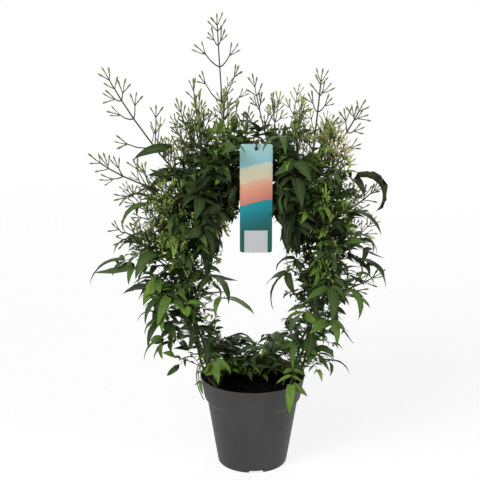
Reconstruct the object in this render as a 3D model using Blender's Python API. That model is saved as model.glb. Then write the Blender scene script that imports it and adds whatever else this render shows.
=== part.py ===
"""A jasmine in bud, wound round a wire hoop in a 14 cm nursery pot.

Metres, +Z up. The origin is the middle of the pot's base, the hoop stands in the
plane y = 0, and -Y is the front, where the tag hangs.
"""

from math import cos, pi, radians, sin, sqrt

import bmesh
import bpy
from mathutils import Matrix, Vector
from mathutils.bvhtree import BVHTree

GAP = 0.0004  # between pieces that touch on the real plant

# Pot
POT_HEIGHT = 0.124
RIM_RADIUS = 0.070
COLLAR_FOOT = (0.0643, 0.094)  # radius and height where the collar ends
SHOULDER = (0.0603, 0.0885)
BASE_RADIUS = 0.046
WALL = 0.0013
BASE_CURVE = 0.002
LIP_ROUND = 0.0006
FLOOR_BEVEL = 0.001
CHANNEL_HEIGHT = 0.0040  # the underside between the foot ring and the middle pad
FOOT_RING = 0.0035
PAD_RADIUS = 0.018
POT_SIDES = 56
NOTCHES = 3
NOTCH_WIDTH = 0.019
NOTCH_TURN = radians(-84)  # the front notch stands a little to the right
HOLES = 6
HOLE_RADIUS = 0.0035

# Peat
PEAT_TOP = 0.108
PEAT_CROWN = 0.002
PEAT_CROWN_RADIUS = 0.055
PEAT_EDGE_DROP = 0.002
PEAT_SLACK = 0.0002  # more room at the wall, because pot and peat have different facets
PEAT_SIDES = 40

# Hoop
ROD_RADIUS = 0.0016
ROD_DEPTH = 0.060
HOOP_FOOT = 0.050  # half the width at the peat
HOOP_WAIST = 0.093  # half the greatest width
HOOP_WAIST_HEIGHT = 0.295
HOOP_TOP = 0.420

# Climbing stems: phase round the hoop, how far up the half hoop, and turns in that length
STEM_RADIUS = 0.0018
STEM_TIP_RADIUS = 0.0010
WIND_RADIUS = 0.0060
FOOT_SPREAD = 0.0100
STEM_DEPTH = 0.015
STEM_SIDES = 5
STEM_RINGS = 34
STEMS = {
    "left": [(20, 0.97, 2.6), (140, 0.90, 2.6), (260, 0.94, 2.6)],
    "right": [(80, 0.93, -2.4), (200, 0.96, -2.4), (320, 0.88, -2.4)],
}

# Tag and its tie
TAG_WIDTH = 0.041
TAG_LENGTH = 0.141
TAG_THICKNESS = 0.0006
TAG_TOP = 0.4455
TAG_MIDDLE = 0.0035
TAG_FRONT = -0.040
TAG_CORNER = 0.003
TAG_HOLE = 0.0025
TAG_HOLE_DROP = 0.006
TIE_RADIUS = 0.0009
TIE_REAR = 0.0120
TIE_REAR_HALF = 0.0115
TIE_FRONT_HALF = 0.0075
TIE_FRONT_REACH = 0.005  # how far the loop stands out in front of the tag

# Leafy shoots
AXIS_HALF = 0.0007
BLADE_HALF = 0.0005
END_LEAFLET = 1.3  # length against its neighbours
PAIR_SHORTENING = 0.12  # of each pair of leaflets against the next one up
LEAFLET_HALF_WIDTH = 0.17  # against its length, as are the next four
LEAFLET_WIDEST = 0.38
LEAFLET_LATE = 0.70
LATE_HALF_WIDTH = 0.09
LEAFLET_SAG = 0.20
LEAFLET_SPLAY = radians(60)  # between a leaflet and the stem
LEAFLET_DIP = 0.12  # how much its way points down

# Panicles
BUD_HALF = 0.0012
BUD_STALK_HALF = 0.00042
BUD_NECK = 0.40  # share of a bud's length
BUD_BELLY = 0.75
BARE_STEPS = 2  # steps of a panicle's stem below its first branches
LEAN_AT_FOOT = 1.25  # against the lean of the whole
LEAN_AT_TIP = 0.75
LENGTH_LEFT = 0.62  # share of a panicle's length left above each pair, against the last
BRANCH_SHARE = 0.46  # a branch's length against the length left above it
BRANCH_LEAST = 0.006  # added to every branch
BRANCH_TURN = radians(24)  # how far the pairs turn out of the plane of the lean
BRANCH_SPLAY = radians(44)  # between a branch and the stem
BRANCH_HALF = 0.0005
FORK_FROM = 0.026  # a branch at least this long ends in three buds
FORK_BUD = 0.017
FORK_SPLAY = radians(30)

# How far a piece turns aside, step by step, to stand clear of its neighbours
TURN_STEP = 7
TURN_TRIES = 27

# Free space that no shoot grows into: inside the hoop, and in the pot's mouth
HOOP_SPACE = ((-0.045, -0.010, 0.155), (0.045, 0.010, 0.355))
MOUTH_SPACE = ((-0.030, -0.045, 0.1115), (0.030, 0.034, 0.1250))

# name: side, place up the half hoop, heading, rise, droop in degrees, length, leaflet, pairs
# Headings: 0 is right, 90 back, 180 left, 270 front.
SHOOTS = {
    "left_01": ("left", 0.07, 285, 40, 95, 0.066, 0.021, 3),
    "left_02": ("left", 0.17, 198, 8, 60, 0.056, 0.022, 3),
    "left_03": ("left", 0.22, 285, 10, 45, 0.075, 0.032, 3),
    "left_04": ("left", 0.33, 168, 22, 45, 0.085, 0.034, 3),
    "left_05": ("left", 0.36, 235, 10, 45, 0.090, 0.036, 3),
    "left_06": ("left", 0.44, 310, 14, 50, 0.098, 0.038, 3),
    "left_07": ("left", 0.50, 185, 22, 55, 0.120, 0.040, 4),
    "left_08": ("left", 0.55, 105, 15, 40, 0.080, 0.036, 3),
    "left_09": ("left", 0.68, 198, 15, 50, 0.096, 0.034, 4),
    "left_10": ("left", 0.85, 190, 66, 110, 0.112, 0.036, 3),
    "left_11": ("left", 0.78, 270, 15, 60, 0.085, 0.036, 3),
    "left_12": ("left", 0.86, 115, 30, 45, 0.085, 0.034, 3),
    "left_13": ("left", 0.16, 325, 30, 55, 0.088, 0.030, 3),
    "left_14": ("left", 0.30, 345, 30, 45, 0.120, 0.036, 3),
    "right_01": ("right", 0.07, 262, 45, 110, 0.092, 0.026, 3),
    "right_02": ("right", 0.12, 348, 20, 55, 0.062, 0.026, 3),
    "right_03": ("right", 0.24, 250, 10, 45, 0.075, 0.032, 3),
    "right_04": ("right", 0.31, 20, 15, 45, 0.090, 0.034, 3),
    "right_05": ("right", 0.38, 305, 10, 50, 0.085, 0.036, 3),
    "right_06": ("right", 0.47, 352, 14, 60, 0.078, 0.034, 3),
    "right_07": ("right", 0.48, 220, 8, 75, 0.108, 0.036, 3),
    "right_08": ("right", 0.58, 75, 15, 40, 0.080, 0.036, 3),
    "right_09": ("right", 0.67, 325, 24, 55, 0.086, 0.036, 3),
    "right_10": ("right", 0.78, 2, 34, 80, 0.108, 0.036, 4),
    "right_11": ("right", 0.82, 280, 15, 60, 0.080, 0.034, 3),
    "right_12": ("right", 0.88, 70, 30, 45, 0.085, 0.034, 3),
    "right_13": ("right", 0.20, 215, 18, 45, 0.078, 0.030, 3),
    "top_01": ("left", 0.93, 245, 25, 70, 0.080, 0.034, 3),
    "top_02": ("right", 0.92, 300, 25, 70, 0.085, 0.036, 3),
    "top_03": ("left", 0.95, 75, 35, 60, 0.075, 0.034, 3),
}

# name: side, place up the half hoop, heading, lean from upright in degrees, length, bud pairs
PANICLES = {
    "spire": ("left", 0.96, 205, 4, 0.190, 4),
    "left_high": ("left", 0.805, 183, 35, 0.190, 4),
    "left_wing": ("left", 0.72, 182, 66, 0.142, 4),
    "left_back": ("left", 0.84, 120, 18, 0.128, 3),
    "left_crown": ("left", 0.86, 215, 24, 0.110, 3),
    "left_low": ("left", 0.52, 190, 70, 0.112, 3),
    "middle_back": ("left", 0.96, 80, 22, 0.085, 3),
    "right_slant": ("right", 0.92, 168, 18, 0.118, 3),
    "right_tall": ("right", 0.76, 350, 6, 0.147, 4),
    "right_crown": ("right", 0.72, 300, 10, 0.095, 3),
    "right_fan": ("right", 0.75, 348, 32, 0.132, 4),
    "right_back": ("right", 0.78, 80, 35, 0.095, 3),
    "right_wing": ("right", 0.66, 5, 60, 0.088, 3),
    "right_low": ("right", 0.43, 350, 72, 0.084, 3),
}

# Runners: low arches over the peat at the back of the pot's mouth, rooted at both ends.
# name: half the span, depth, height of the arch
RUNNERS = {"runner_high": (0.034, 0.046, 0.132), "runner_low": (0.028, 0.040, 0.124)}
RUNNER_RADIUS = 0.0010
RUNNER_DEPTH = 0.010

UP = Vector((0, 0, 1))
GREENS = {"stem": (0.16, 0.13, 0.07), "leaf": (0.05, 0.13, 0.03), "bud": (0.62, 0.55, 0.42)}


def material(name, colour, roughness, metallic=0.0):
    """A Principled material of one colour."""
    made = bpy.data.materials.new(name)
    made.use_nodes = True
    shader = made.node_tree.nodes["Principled BSDF"]
    shader.inputs["Base Color"].default_value = (*colour, 1)
    shader.inputs["Roughness"].default_value = roughness
    shader.inputs["Metallic"].default_value = metallic
    return made


def add_object(name, bm, finish):
    """Turn a bmesh into a named object with its own finish, smooth between its sharp edges."""
    mesh = bpy.data.meshes.new(name)
    bmesh.ops.recalc_face_normals(bm, faces=bm.faces)
    bm.to_mesh(mesh)
    bm.free()
    mesh.materials.append(material(name, *finish))
    obj = bpy.data.objects.new(name, mesh)
    bpy.context.scene.collection.objects.link(obj)
    shade(obj)
    return obj


def shade(obj):
    """Shade smooth, with edges sharper than 40 degrees kept."""
    obj.data.shade_smooth()
    obj.data.set_sharp_from_angle(angle=radians(40))


def turned(name, profile, sides, finish):
    """Turn a profile of (radius, height) round Z; it runs down the outer side."""
    mesh = bpy.data.meshes.new(name)
    points = [(radius, 0, height) for radius, height in profile]
    mesh.from_pydata(points, [(i, i + 1) for i in range(len(points) - 1)], [])
    mesh.materials.append(material(name, *finish))
    obj = bpy.data.objects.new(name, mesh)
    bpy.context.scene.collection.objects.link(obj)
    screw = obj.modifiers.new("turn", "SCREW")
    screw.steps = screw.render_steps = sides
    screw.use_merge_vertices = True
    screw.merge_threshold = 0.00005
    return obj


def cut(obj, cutters):
    """Cut the cutters out of obj, then keep the plain result and delete them."""
    for cutter in cutters:
        cutter.hide_render = True
        cutter.display_type = "WIRE"
        boolean = obj.modifiers.new("cut", "BOOLEAN")
        boolean.operation = "DIFFERENCE"
        boolean.object = cutter
    bpy.context.view_layer.update()
    evaluated = obj.evaluated_get(bpy.context.evaluated_depsgraph_get())
    result = bpy.data.meshes.new_from_object(evaluated)
    obj.modifiers.clear()
    obj.data = result
    for cutter in cutters:
        bpy.data.objects.remove(cutter)
    shade(obj)


# ---------------------------------------------------------------- pot and peat


def outer_radius(height):
    """Outer radius of the pot's wall at a height."""
    if height >= COLLAR_FOOT[1]:
        low, high = COLLAR_FOOT, (RIM_RADIUS, POT_HEIGHT)
    elif height >= SHOULDER[1]:
        low, high = SHOULDER, COLLAR_FOOT
    else:
        low, high = (BASE_RADIUS, 0), SHOULDER
    part = (height - low[1]) / (high[1] - low[1])
    return low[0] + part * (high[0] - low[0])


def make_pot():
    """The pot: one moulded sheet with a lip, a collar, a foot ring and a raised underside."""
    floor = CHANNEL_HEIGHT + WALL
    ring_inside = BASE_RADIUS - FOOT_RING
    inside = [
        (0, WALL),
        (PAD_RADIUS - WALL, WALL),
        (PAD_RADIUS, floor),
        (outer_radius(floor) - WALL - FLOOR_BEVEL, floor),
        (outer_radius(floor + FLOOR_BEVEL) - WALL, floor + FLOOR_BEVEL),
        (SHOULDER[0] - WALL, SHOULDER[1]),
        (COLLAR_FOOT[0] - WALL, COLLAR_FOOT[1]),
    ]
    lip = [
        (RIM_RADIUS - WALL, POT_HEIGHT - LIP_ROUND),
        (RIM_RADIUS - WALL / 2, POT_HEIGHT),
        (RIM_RADIUS, POT_HEIGHT - LIP_ROUND),
    ]
    corner = [
        (BASE_RADIUS - BASE_CURVE * (1 - cos(a)), BASE_CURVE * (1 - sin(a)))
        for a in (0, pi / 6, pi / 3, pi / 2)
    ]
    outside = [COLLAR_FOOT, SHOULDER] + corner
    under = [(ring_inside, 0), (ring_inside, CHANNEL_HEIGHT), (PAD_RADIUS + WALL, CHANNEL_HEIGHT)]
    profile = inside + lip + outside + under + [(PAD_RADIUS, 0), (0, 0)]
    pot = turned("pot", profile, POT_SIDES, ((0.070, 0.070, 0.067), 0.55))
    cutters = []
    for i in range(NOTCHES):
        turn = Matrix.Rotation(NOTCH_TURN + i * 2 * pi / NOTCHES, 4, "Z")
        bm = bmesh.new()
        size = Matrix.Diagonal((3 * FOOT_RING, NOTCH_WIDTH, 2 * (CHANNEL_HEIGHT - GAP), 1))
        place = turn @ Matrix.Translation((BASE_RADIUS, 0, 0)) @ size
        bmesh.ops.create_cube(bm, size=1, matrix=place)
        cutters.append(add_object("notch", bm, ((1, 1, 1), 1)))
    middle = (ring_inside + PAD_RADIUS) / 2
    for i in range(HOLES):
        turn = Matrix.Rotation(NOTCH_TURN + i * 2 * pi / HOLES, 4, "Z")
        place = turn @ Matrix.Translation((middle, 0, floor))
        bm = bmesh.new()
        bmesh.ops.create_cone(
            bm, cap_ends=True, segments=12, radius1=HOLE_RADIUS, radius2=HOLE_RADIUS,
            depth=4 * WALL, matrix=place,
        )
        cutters.append(add_object("hole", bm, ((1, 1, 1), 1)))
    cut(pot, cutters)


def make_peat(holes):
    """The peat, a low crown that fills the pot, with a bore for everything that stands in it."""
    floor = CHANNEL_HEIGHT + WALL + GAP
    wall = WALL + GAP + PEAT_SLACK
    edge = PEAT_TOP - PEAT_EDGE_DROP
    profile = [(0, PEAT_TOP + PEAT_CROWN)]
    profile += [
        (part * PEAT_CROWN_RADIUS, PEAT_TOP + PEAT_CROWN * cos(part * pi / 2))
        for part in (0.35, 0.7, 1.0)
    ]
    profile += [
        (outer_radius(edge) - wall, edge),
        (COLLAR_FOOT[0] - wall, COLLAR_FOOT[1]),
        (SHOULDER[0] - wall, SHOULDER[1] - PEAT_SLACK),
        (outer_radius(floor + FLOOR_BEVEL) - wall - PEAT_SLACK, floor + FLOOR_BEVEL),
        (outer_radius(floor) - wall - FLOOR_BEVEL - PEAT_SLACK, floor),
        (0, floor),
    ]
    peat = turned("peat", profile, PEAT_SIDES, ((0.020, 0.016, 0.013), 0.95))
    cut(peat, holes)


# ------------------------------------------------------------- growing a body


def across(direction, up):
    """The side and up directions square to a direction, so that side x up = direction."""
    side = up.cross(direction).normalized()
    return side, direction.cross(side).normalized()


def round_ring(centre, direction, up, radius, sides, turn=0.0):
    """Corners of a regular ring round a direction."""
    side, upward = across(direction, up)
    angles = [turn + i * 2 * pi / sides for i in range(sides)]
    return [centre + radius * (cos(a) * side + sin(a) * upward) for a in angles]


def square_ring(centre, direction, up, half):
    """A square ring whose four faces look along side and up."""
    return round_ring(centre, direction, up, half * sqrt(2), 4, pi / 4)


def blade_ring(centre, direction, up, half_width, half_thickness):
    """A thin ring: an edge on each side, and a ridge above and below."""
    side, upward = across(direction, up)
    steps = (side * half_width, upward * half_thickness)
    return [centre + steps[0], centre + steps[1], centre - steps[0], centre - steps[1]]


def first_segment(bm, foot, end):
    """A closed block between two rings; gives back its end face and its sides."""
    low = [bm.verts.new(p) for p in foot]
    high = [bm.verts.new(p) for p in end]
    count = len(low)
    bm.faces.new(low[::-1])
    tip = bm.faces.new(high)
    sides = [
        bm.faces.new((low[i], low[(i + 1) % count], high[(i + 1) % count], high[i]))
        for i in range(count)
    ]
    return tip, sides


def grow(bm, face, ring):
    """Push one face out to a new ring; gives back the moved face and the sides it leaves."""
    tip = bmesh.ops.extrude_discrete_faces(bm, faces=[face])["faces"][0]
    corners = list(tip.verts)
    count = len(corners)

    def travel(shift):
        return sum((corners[i].co - ring[(i + shift) % count]).length for i in range(count))

    shift = min(range(count), key=travel)
    for i, corner in enumerate(corners):
        corner.co = ring[(i + shift) % count]
    sides = [f for edge in tip.edges for f in edge.link_faces if f is not tip]
    return tip, sides


def close_to_point(bm, face, point):
    """End a body in a point."""
    bmesh.ops.pointmerge(bm, verts=list(face.verts), merge_co=point)


def facing(sides, direction):
    """The side, of those still there, that looks most along a direction."""
    left = [face for face in sides if face.is_valid]
    for face in left:
        face.normal_update()
    return max(left, key=lambda face: face.normal.dot(direction))


def grow_leaflet(bm, face, root, direction, up, length):
    """A pointed leaflet: narrow at its foot, widest near a third, drooping to a long tip."""

    def middle(share):
        return root + (direction * share - UP * LEAFLET_SAG * share ** 2) * length

    half, late_half = LEAFLET_HALF_WIDTH * length, LATE_HALF_WIDTH * length
    tip, _ = grow(bm, face, blade_ring(middle(LEAFLET_WIDEST), direction, up, half, BLADE_HALF))
    tip, _ = grow(bm, tip, blade_ring(middle(LEAFLET_LATE), direction, up, late_half, BLADE_HALF))
    close_to_point(bm, tip, middle(1))


def grow_bud(bm, face, root, direction, up, length):
    """A slim bud on a thin stalk."""
    neck = root + direction * length * BUD_NECK
    belly = root + direction * length * BUD_BELLY
    tip, _ = grow(bm, face, square_ring(neck, direction, up, BUD_STALK_HALF))
    tip, _ = grow(bm, tip, square_ring(belly, direction, up, BUD_HALF))
    close_to_point(bm, tip, root + direction * length)


def compass(heading, rise):
    """A direction from a heading round Z and a rise from level, both in degrees."""
    level = cos(radians(rise))
    return Vector((level * cos(radians(heading)), level * sin(radians(heading)), sin(radians(rise))))


def grow_branch(bm, face, root, direction, up, length):
    """A side branch: one bud, or a fork of three where the branch is long."""
    if length < FORK_FROM:
        grow_bud(bm, face, root, direction, up, length)
        return
    node = 4 * BRANCH_HALF
    fork = root + direction * (length - FORK_BUD)
    foot = fork - direction * node
    upward = across(direction, up)[1]
    tip, _ = grow(bm, face, square_ring(foot, direction, up, BRANCH_HALF))
    tip, sides = grow(bm, tip, square_ring(fork, direction, up, BRANCH_HALF))
    for sign in (1, -1):
        way = direction * cos(FORK_SPLAY) + upward * sign * sin(FORK_SPLAY)
        start = (foot + fork) / 2 + upward * sign * BRANCH_HALF
        grow_bud(bm, facing(sides, upward * sign), start, way, direction, FORK_BUD)
    grow_bud(bm, tip, fork, direction, up, FORK_BUD)


def grow_axis(bm, root, outward, heading, rises, steps, half):
    """A square stem that leaves along outward and then follows the rises, a step for each.

    Gives back a short segment at the end of every step, with its sides and directions.
    """
    up = UP if abs(outward.z) < 0.9 else Vector((0, 1, 0))
    node = 4 * half
    point = root + outward * 2 * half
    tip, _ = first_segment(
        bm, square_ring(root, outward, up, half), square_ring(point, outward, up, half)
    )
    nodes = []
    for rise, step in zip(rises, steps):
        direction = compass(heading, rise)
        up = (up - direction * up.dot(direction)).normalized()
        point = point + direction * (step - node)
        tip, _ = grow(bm, tip, square_ring(point, direction, up, half))
        middle = point + direction * node / 2
        point = point + direction * node
        tip, sides = grow(bm, tip, square_ring(point, direction, up, half))
        nodes.append((middle, direction, up, sides))
    return tip, point, nodes


def leafy_shoot(root, outward, heading, rise, droop, length, leaflet, pairs):
    """A side shoot: pairs of leaflets and a longer one at its end."""
    bm = bmesh.new()
    rises = [rise - droop * i / pairs for i in range(pairs)]
    steps = [(length - leaflet * END_LEAFLET) / pairs] * pairs
    tip, point, nodes = grow_axis(bm, root, outward, heading, rises, steps, AXIS_HALF)
    for i, (middle, direction, up, sides) in enumerate(nodes):
        side = across(direction, up)[0]
        size = leaflet * (1 - PAIR_SHORTENING * (len(nodes) - 1 - i))
        for sign in (1, -1):
            way = side * sign * sin(LEAFLET_SPLAY) + direction * cos(LEAFLET_SPLAY)
            way = (way - UP * LEAFLET_DIP).normalized()
            face = facing(sides, side * sign)
            grow_leaflet(bm, face, middle + side * sign * AXIS_HALF, way, up, size)
    direction, up = nodes[-1][1], nodes[-1][2]
    grow_leaflet(bm, tip, point, direction, up, leaflet * END_LEAFLET)
    return bm


def panicle(root, outward, heading, lean, length, pairs):
    """An upright spray: pairs of branches, shorter and closer together toward its tip."""
    bm = bmesh.new()
    count = pairs + BARE_STEPS
    leans = [LEAN_AT_FOOT + (LEAN_AT_TIP - LEAN_AT_FOOT) * i / count for i in range(count)]
    rises = [90 - lean * part for part in leans]
    left = [length * LENGTH_LEFT ** k for k in range(pairs + 1)]
    steps = [(left[0] - left[1]) / (BARE_STEPS + 1)] * (BARE_STEPS + 1)
    steps += [low - high for low, high in zip(left[1:], left[2:])]
    tip, point, nodes = grow_axis(bm, root, outward, heading, rises, steps, AXIS_HALF)
    for i, (middle, direction, up, sides) in enumerate(nodes[BARE_STEPS:]):
        side, upward = across(direction, up)
        turn = BRANCH_TURN * (1 if i % 2 else -1)
        cross = upward * cos(turn) + side * sin(turn)
        size = BRANCH_LEAST + BRANCH_SHARE * left[i + 1]
        for sign in (1, -1):
            way = cross * sign * sin(BRANCH_SPLAY) + direction * cos(BRANCH_SPLAY)
            face = facing(sides, upward * sign)
            start = middle + upward * sign * AXIS_HALF
            grow_branch(bm, face, start, way, direction, size)
    direction, up = nodes[-1][1], nodes[-1][2]
    grow_branch(bm, tip, point, direction, up, left[-1])
    return bm


def tube(points, radii, sides, closed=False):
    """A round body along points, with a radius at each."""
    bm = bmesh.new()
    count = len(points)
    rings = []
    up = None
    for i, point in enumerate(points):
        before = points[(i - 1) % count] if closed else points[max(i - 1, 0)]
        after = points[(i + 1) % count] if closed else points[min(i + 1, count - 1)]
        direction = (after - before).normalized()
        if up is None:
            up = Vector((0, 1, 0)) if abs(direction.y) < 0.8 else UP
        if closed:  # a flat loop keeps one direction square to it
            up = Vector((1, 0, 0))
        up = (up - direction * up.dot(direction)).normalized()
        rings.append([bm.verts.new(p) for p in round_ring(point, direction, up, radii[i], sides)])
    pairs = list(zip(rings, rings[1:]))
    if closed:
        pairs.append((rings[-1], rings[0]))
    else:
        bm.faces.new(rings[0][::-1])
        bm.faces.new(rings[-1])
    for low, high in pairs:
        for i in range(sides):
            j = (i + 1) % sides
            bm.faces.new((low[i], low[j], high[j], high[i]))
    return bm


# ------------------------------------------------------------ hoop and climbers


def half_hoop():
    """Points of half the hoop, from the peat to the top: a flared leg and a quarter ellipse."""
    leg = HOOP_WAIST_HEIGHT - PEAT_TOP
    points = []
    for i in range(61):
        part = i / 60
        width = HOOP_FOOT + (HOOP_WAIST - HOOP_FOOT) * sin(part * pi / 2)
        points.append(Vector((width, 0, PEAT_TOP + part * leg)))
    for i in range(1, 61):
        angle = i / 60 * pi / 2
        rise = (HOOP_TOP - HOOP_WAIST_HEIGHT) * sin(angle)
        points.append(Vector((HOOP_WAIST * cos(angle), 0, HOOP_WAIST_HEIGHT + rise)))
    return points


HALF = half_hoop()
HALF_LENGTH = sum((b - a).length for a, b in zip(HALF, HALF[1:]))


def hoop_at(side, place):
    """Point and direction on one half of the hoop; place is 0 at the peat and 1 at the top."""
    left = place * HALF_LENGTH
    point, direction = HALF[0], (HALF[1] - HALF[0]).normalized()
    for a, b in zip(HALF, HALF[1:]):
        length = (b - a).length
        point, direction = a, (b - a) / length
        if left <= length:
            break
        left -= length
    point = point + direction * left
    sign = -1 if side == "left" else 1
    return Vector((sign * point.x, 0, point.z)), Vector((sign * direction.x, 0, direction.z))


def climber_at(side, stem, place):
    """Point, outward direction and radius of a climbing stem at a place up the half hoop."""
    phase, reach, turns = stem
    centre, direction = hoop_at(side, place)
    sign = -1 if side == "left" else 1
    away = sign * Vector((direction.z, 0, -direction.x))
    angle = radians(phase) + 2 * pi * turns * place
    outward = away * cos(angle) + Vector((0, 1, 0)) * sin(angle)
    loose = max(0.0, 1 - place / 0.16)
    offset = WIND_RADIUS + (FOOT_SPREAD - WIND_RADIUS) * min(1.0, loose) ** 2
    radius = STEM_RADIUS + (STEM_TIP_RADIUS - STEM_RADIUS) * max(0.0, place) / reach
    return centre + outward * offset, outward, radius


def climber_points(side, stem, rings):
    """Points and radii of a whole climbing stem, from inside the peat to its tip."""
    start = -STEM_DEPTH / HALF_LENGTH
    places = [start + (stem[1] - start) * i / (rings - 1) for i in range(rings)]
    found = [climber_at(side, stem, place) for place in places]
    return [f[0] for f in found], [f[2] for f in found]


def foothold(side, place, heading):
    """Where a shoot leaves: the climbing stem that faces its heading best near that place."""
    wanted = compass(heading, 0)
    best = None
    for stem in STEMS[side]:
        for i in range(-8, 9):
            near = place + i * 0.006
            if not 0.015 < near < stem[1] - 0.01:
                continue
            point, outward, radius = climber_at(side, stem, near)
            score = outward.dot(wanted) - abs(i) * 0.01
            if best is None or score > best[0]:
                best = (score, point + outward * (radius + GAP), outward)
    return best[1], best[2]


def box_tree(low, high):
    """A search tree of a plain box."""
    bm = bmesh.new()
    size = Vector(high) - Vector(low)
    middle = (Vector(high) + Vector(low)) / 2
    place = Matrix.Translation(middle) @ Matrix.Diagonal((*size, 1))
    bmesh.ops.create_cube(bm, size=1, matrix=place)
    tree = BVHTree.FromBMesh(bm)
    bm.free()
    return tree


def tree_of(obj):
    """A search tree of a finished object."""
    bm = bmesh.new()
    bm.from_mesh(obj.data)
    tree = BVHTree.FromBMesh(bm, epsilon=GAP * 0.75)
    bm.free()
    return tree


def grow_clear(name, make, side, place, heading, taken, finish):
    """Grow a piece, turning it aside step by step until it touches nothing that stands."""
    for step in range(TURN_TRIES):
        turn = (step + 1) // 2 * TURN_STEP * (1 if step % 2 else -1)
        root, outward = foothold(side, place, heading + turn)
        bm = make(root, outward, heading + turn)
        tree = BVHTree.FromBMesh(bm, epsilon=GAP * 0.75)
        if not any(tree.overlap(other) for other in taken):
            taken.append(tree)
            return add_object(name, bm, finish)
        bm.free()
    raise RuntimeError(f"{name} finds no free way")


# ------------------------------------------------------------------ tag and tie


def make_tag():
    """The tag: a thin upright plate with round corners and a hole for its tie."""
    bm = bmesh.new()
    corners = []
    half = TAG_WIDTH / 2 - TAG_CORNER
    low, high = TAG_TOP - TAG_LENGTH + TAG_CORNER, TAG_TOP - TAG_CORNER
    middles = [(half, high), (-half, high), (-half, low), (half, low)]
    for quarter, (x, z) in enumerate(middles):
        for i in range(4):
            angle = (quarter + i / 3) * pi / 2
            across_x = TAG_MIDDLE + x + TAG_CORNER * cos(angle)
            corners.append((across_x, TAG_FRONT, z + TAG_CORNER * sin(angle)))
    face = bm.faces.new([bm.verts.new(c) for c in corners])
    moved = bmesh.ops.extrude_face_region(bm, geom=[face])["geom"]
    verts = [v for v in moved if isinstance(v, bmesh.types.BMVert)]
    bmesh.ops.translate(bm, verts=verts, vec=(0, TAG_THICKNESS, 0))
    tag = add_object("hang_tag", bm, ((0.30, 0.55, 0.58), 0.40))
    bm = bmesh.new()
    place = Matrix.Translation((TAG_MIDDLE, TAG_FRONT, TAG_TOP - TAG_HOLE_DROP))
    bmesh.ops.create_cone(
        bm, cap_ends=True, segments=12, radius1=TAG_HOLE, radius2=TAG_HOLE, depth=0.01,
        matrix=place @ Matrix.Rotation(pi / 2, 4, "X"),
    )
    cut(tag, [add_object("tag_hole", bm, ((1, 1, 1), 1))])
    return tag


def make_tie():
    """The tie: a loop through the tag's hole and round the top of the hoop."""
    front = TAG_FRONT - TIE_FRONT_REACH
    middle_y, half_y = (front + TIE_REAR) / 2, (TIE_REAR - front) / 2
    mean = (TIE_REAR_HALF + TIE_FRONT_HALF) / 2
    change = (TIE_REAR_HALF - TIE_FRONT_HALF) / 2
    # the lower run meets the tag in the middle of its hole, which sets the front's height
    meets = (TAG_FRONT + TAG_THICKNESS / 2 - middle_y) / half_y
    half_there = (mean + change * meets) * sqrt(1 - meets * meets)
    rear_there = (1 + meets) / 2
    hole = TAG_TOP - TAG_HOLE_DROP
    front_z = (hole + half_there - HOOP_TOP * rear_there) / (1 - rear_there)
    points = []
    for i in range(28):
        angle = 2 * pi * i / 28
        rear = (1 + cos(angle)) / 2
        level = front_z + (HOOP_TOP - front_z) * rear
        height = level + (mean + change * cos(angle)) * sin(angle)
        points.append(Vector((TAG_MIDDLE, middle_y + half_y * cos(angle), height)))
    bm = tube(points, [TIE_RADIUS] * len(points), 6, closed=True)
    return add_object("tag_tie", bm, ((0.05, 0.035, 0.025), 0.6))


def runner_points(half_span, depth, height):
    """A low arch across the pot's mouth, with both ends in the peat."""
    foot = PEAT_TOP - RUNNER_DEPTH
    points = []
    for i in range(15):
        angle = pi * i / 14
        rise = (height - foot) * sqrt(sin(angle))
        points.append(Vector((-half_span * cos(angle), depth, foot + rise)))
    return points


# ------------------------------------------------------------------- the plant

for old in list(bpy.data.objects):
    bpy.data.objects.remove(old)

make_pot()

legs = []
for side in ("left", "right"):
    foot, way = hoop_at(side, 0)
    legs.append([foot - way * ROD_DEPTH, foot - way * ROD_DEPTH / 2])
right = [hoop_at("right", i / 30)[0] for i in range(31)]
left = [hoop_at("left", i / 30)[0] for i in range(30)]
rod = legs[0] + left + right[::-1] + legs[1][::-1]
hoop = add_object("hoop", tube(rod, [ROD_RADIUS] * len(rod), 8), ((0.045, 0.06, 0.045), 0.5))

taken = [tree_of(hoop)]
bores = [add_object("bore", tube(rod, [ROD_RADIUS + GAP] * len(rod), 8), ((1, 1, 1), 1))]
for side, stems in STEMS.items():
    for number, stem in enumerate(stems, 1):
        points, radii = climber_points(side, stem, STEM_RINGS)
        bm = tube(points, radii, STEM_SIDES)
        climber = add_object(f"climber_{side}_{number}", bm, (GREENS["stem"], 0.65))
        taken.append(tree_of(climber))
        low = [p for p in points if p.z < PEAT_TOP + 0.03]
        foot = [low[0] - (low[1] - low[0]).normalized() * GAP] + low[1:]
        wide = [STEM_RADIUS + GAP * 1.5] * len(foot)
        bores.append(add_object("bore", tube(foot, wide, STEM_SIDES), ((1, 1, 1), 1)))
for name, (half_span, depth, height) in RUNNERS.items():
    points = runner_points(half_span, depth, height)
    bm = tube(points, [RUNNER_RADIUS] * len(points), 5)
    taken.append(tree_of(add_object(name, bm, (GREENS["stem"], 0.6))))
    wide = tube(points, [RUNNER_RADIUS + GAP * 1.5] * len(points), 5)
    bores.append(add_object("bore", wide, ((1, 1, 1), 1)))
make_peat(bores)
taken.append(tree_of(bpy.data.objects["pot"]))
taken.append(tree_of(bpy.data.objects["peat"]))
taken.append(tree_of(make_tag()))
taken.append(tree_of(make_tie()))
taken.append(box_tree(*HOOP_SPACE))
taken.append(box_tree(*MOUTH_SPACE))

for name, (side, place, heading, rise, droop, length, leaflet, pairs) in SHOOTS.items():
    def sprout(root, outward, way):
        return leafy_shoot(root, outward, way, rise, droop, length, leaflet, pairs)

    grow_clear(f"shoot_{name}", sprout, side, place, heading, taken, (GREENS["leaf"], 0.45))

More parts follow.
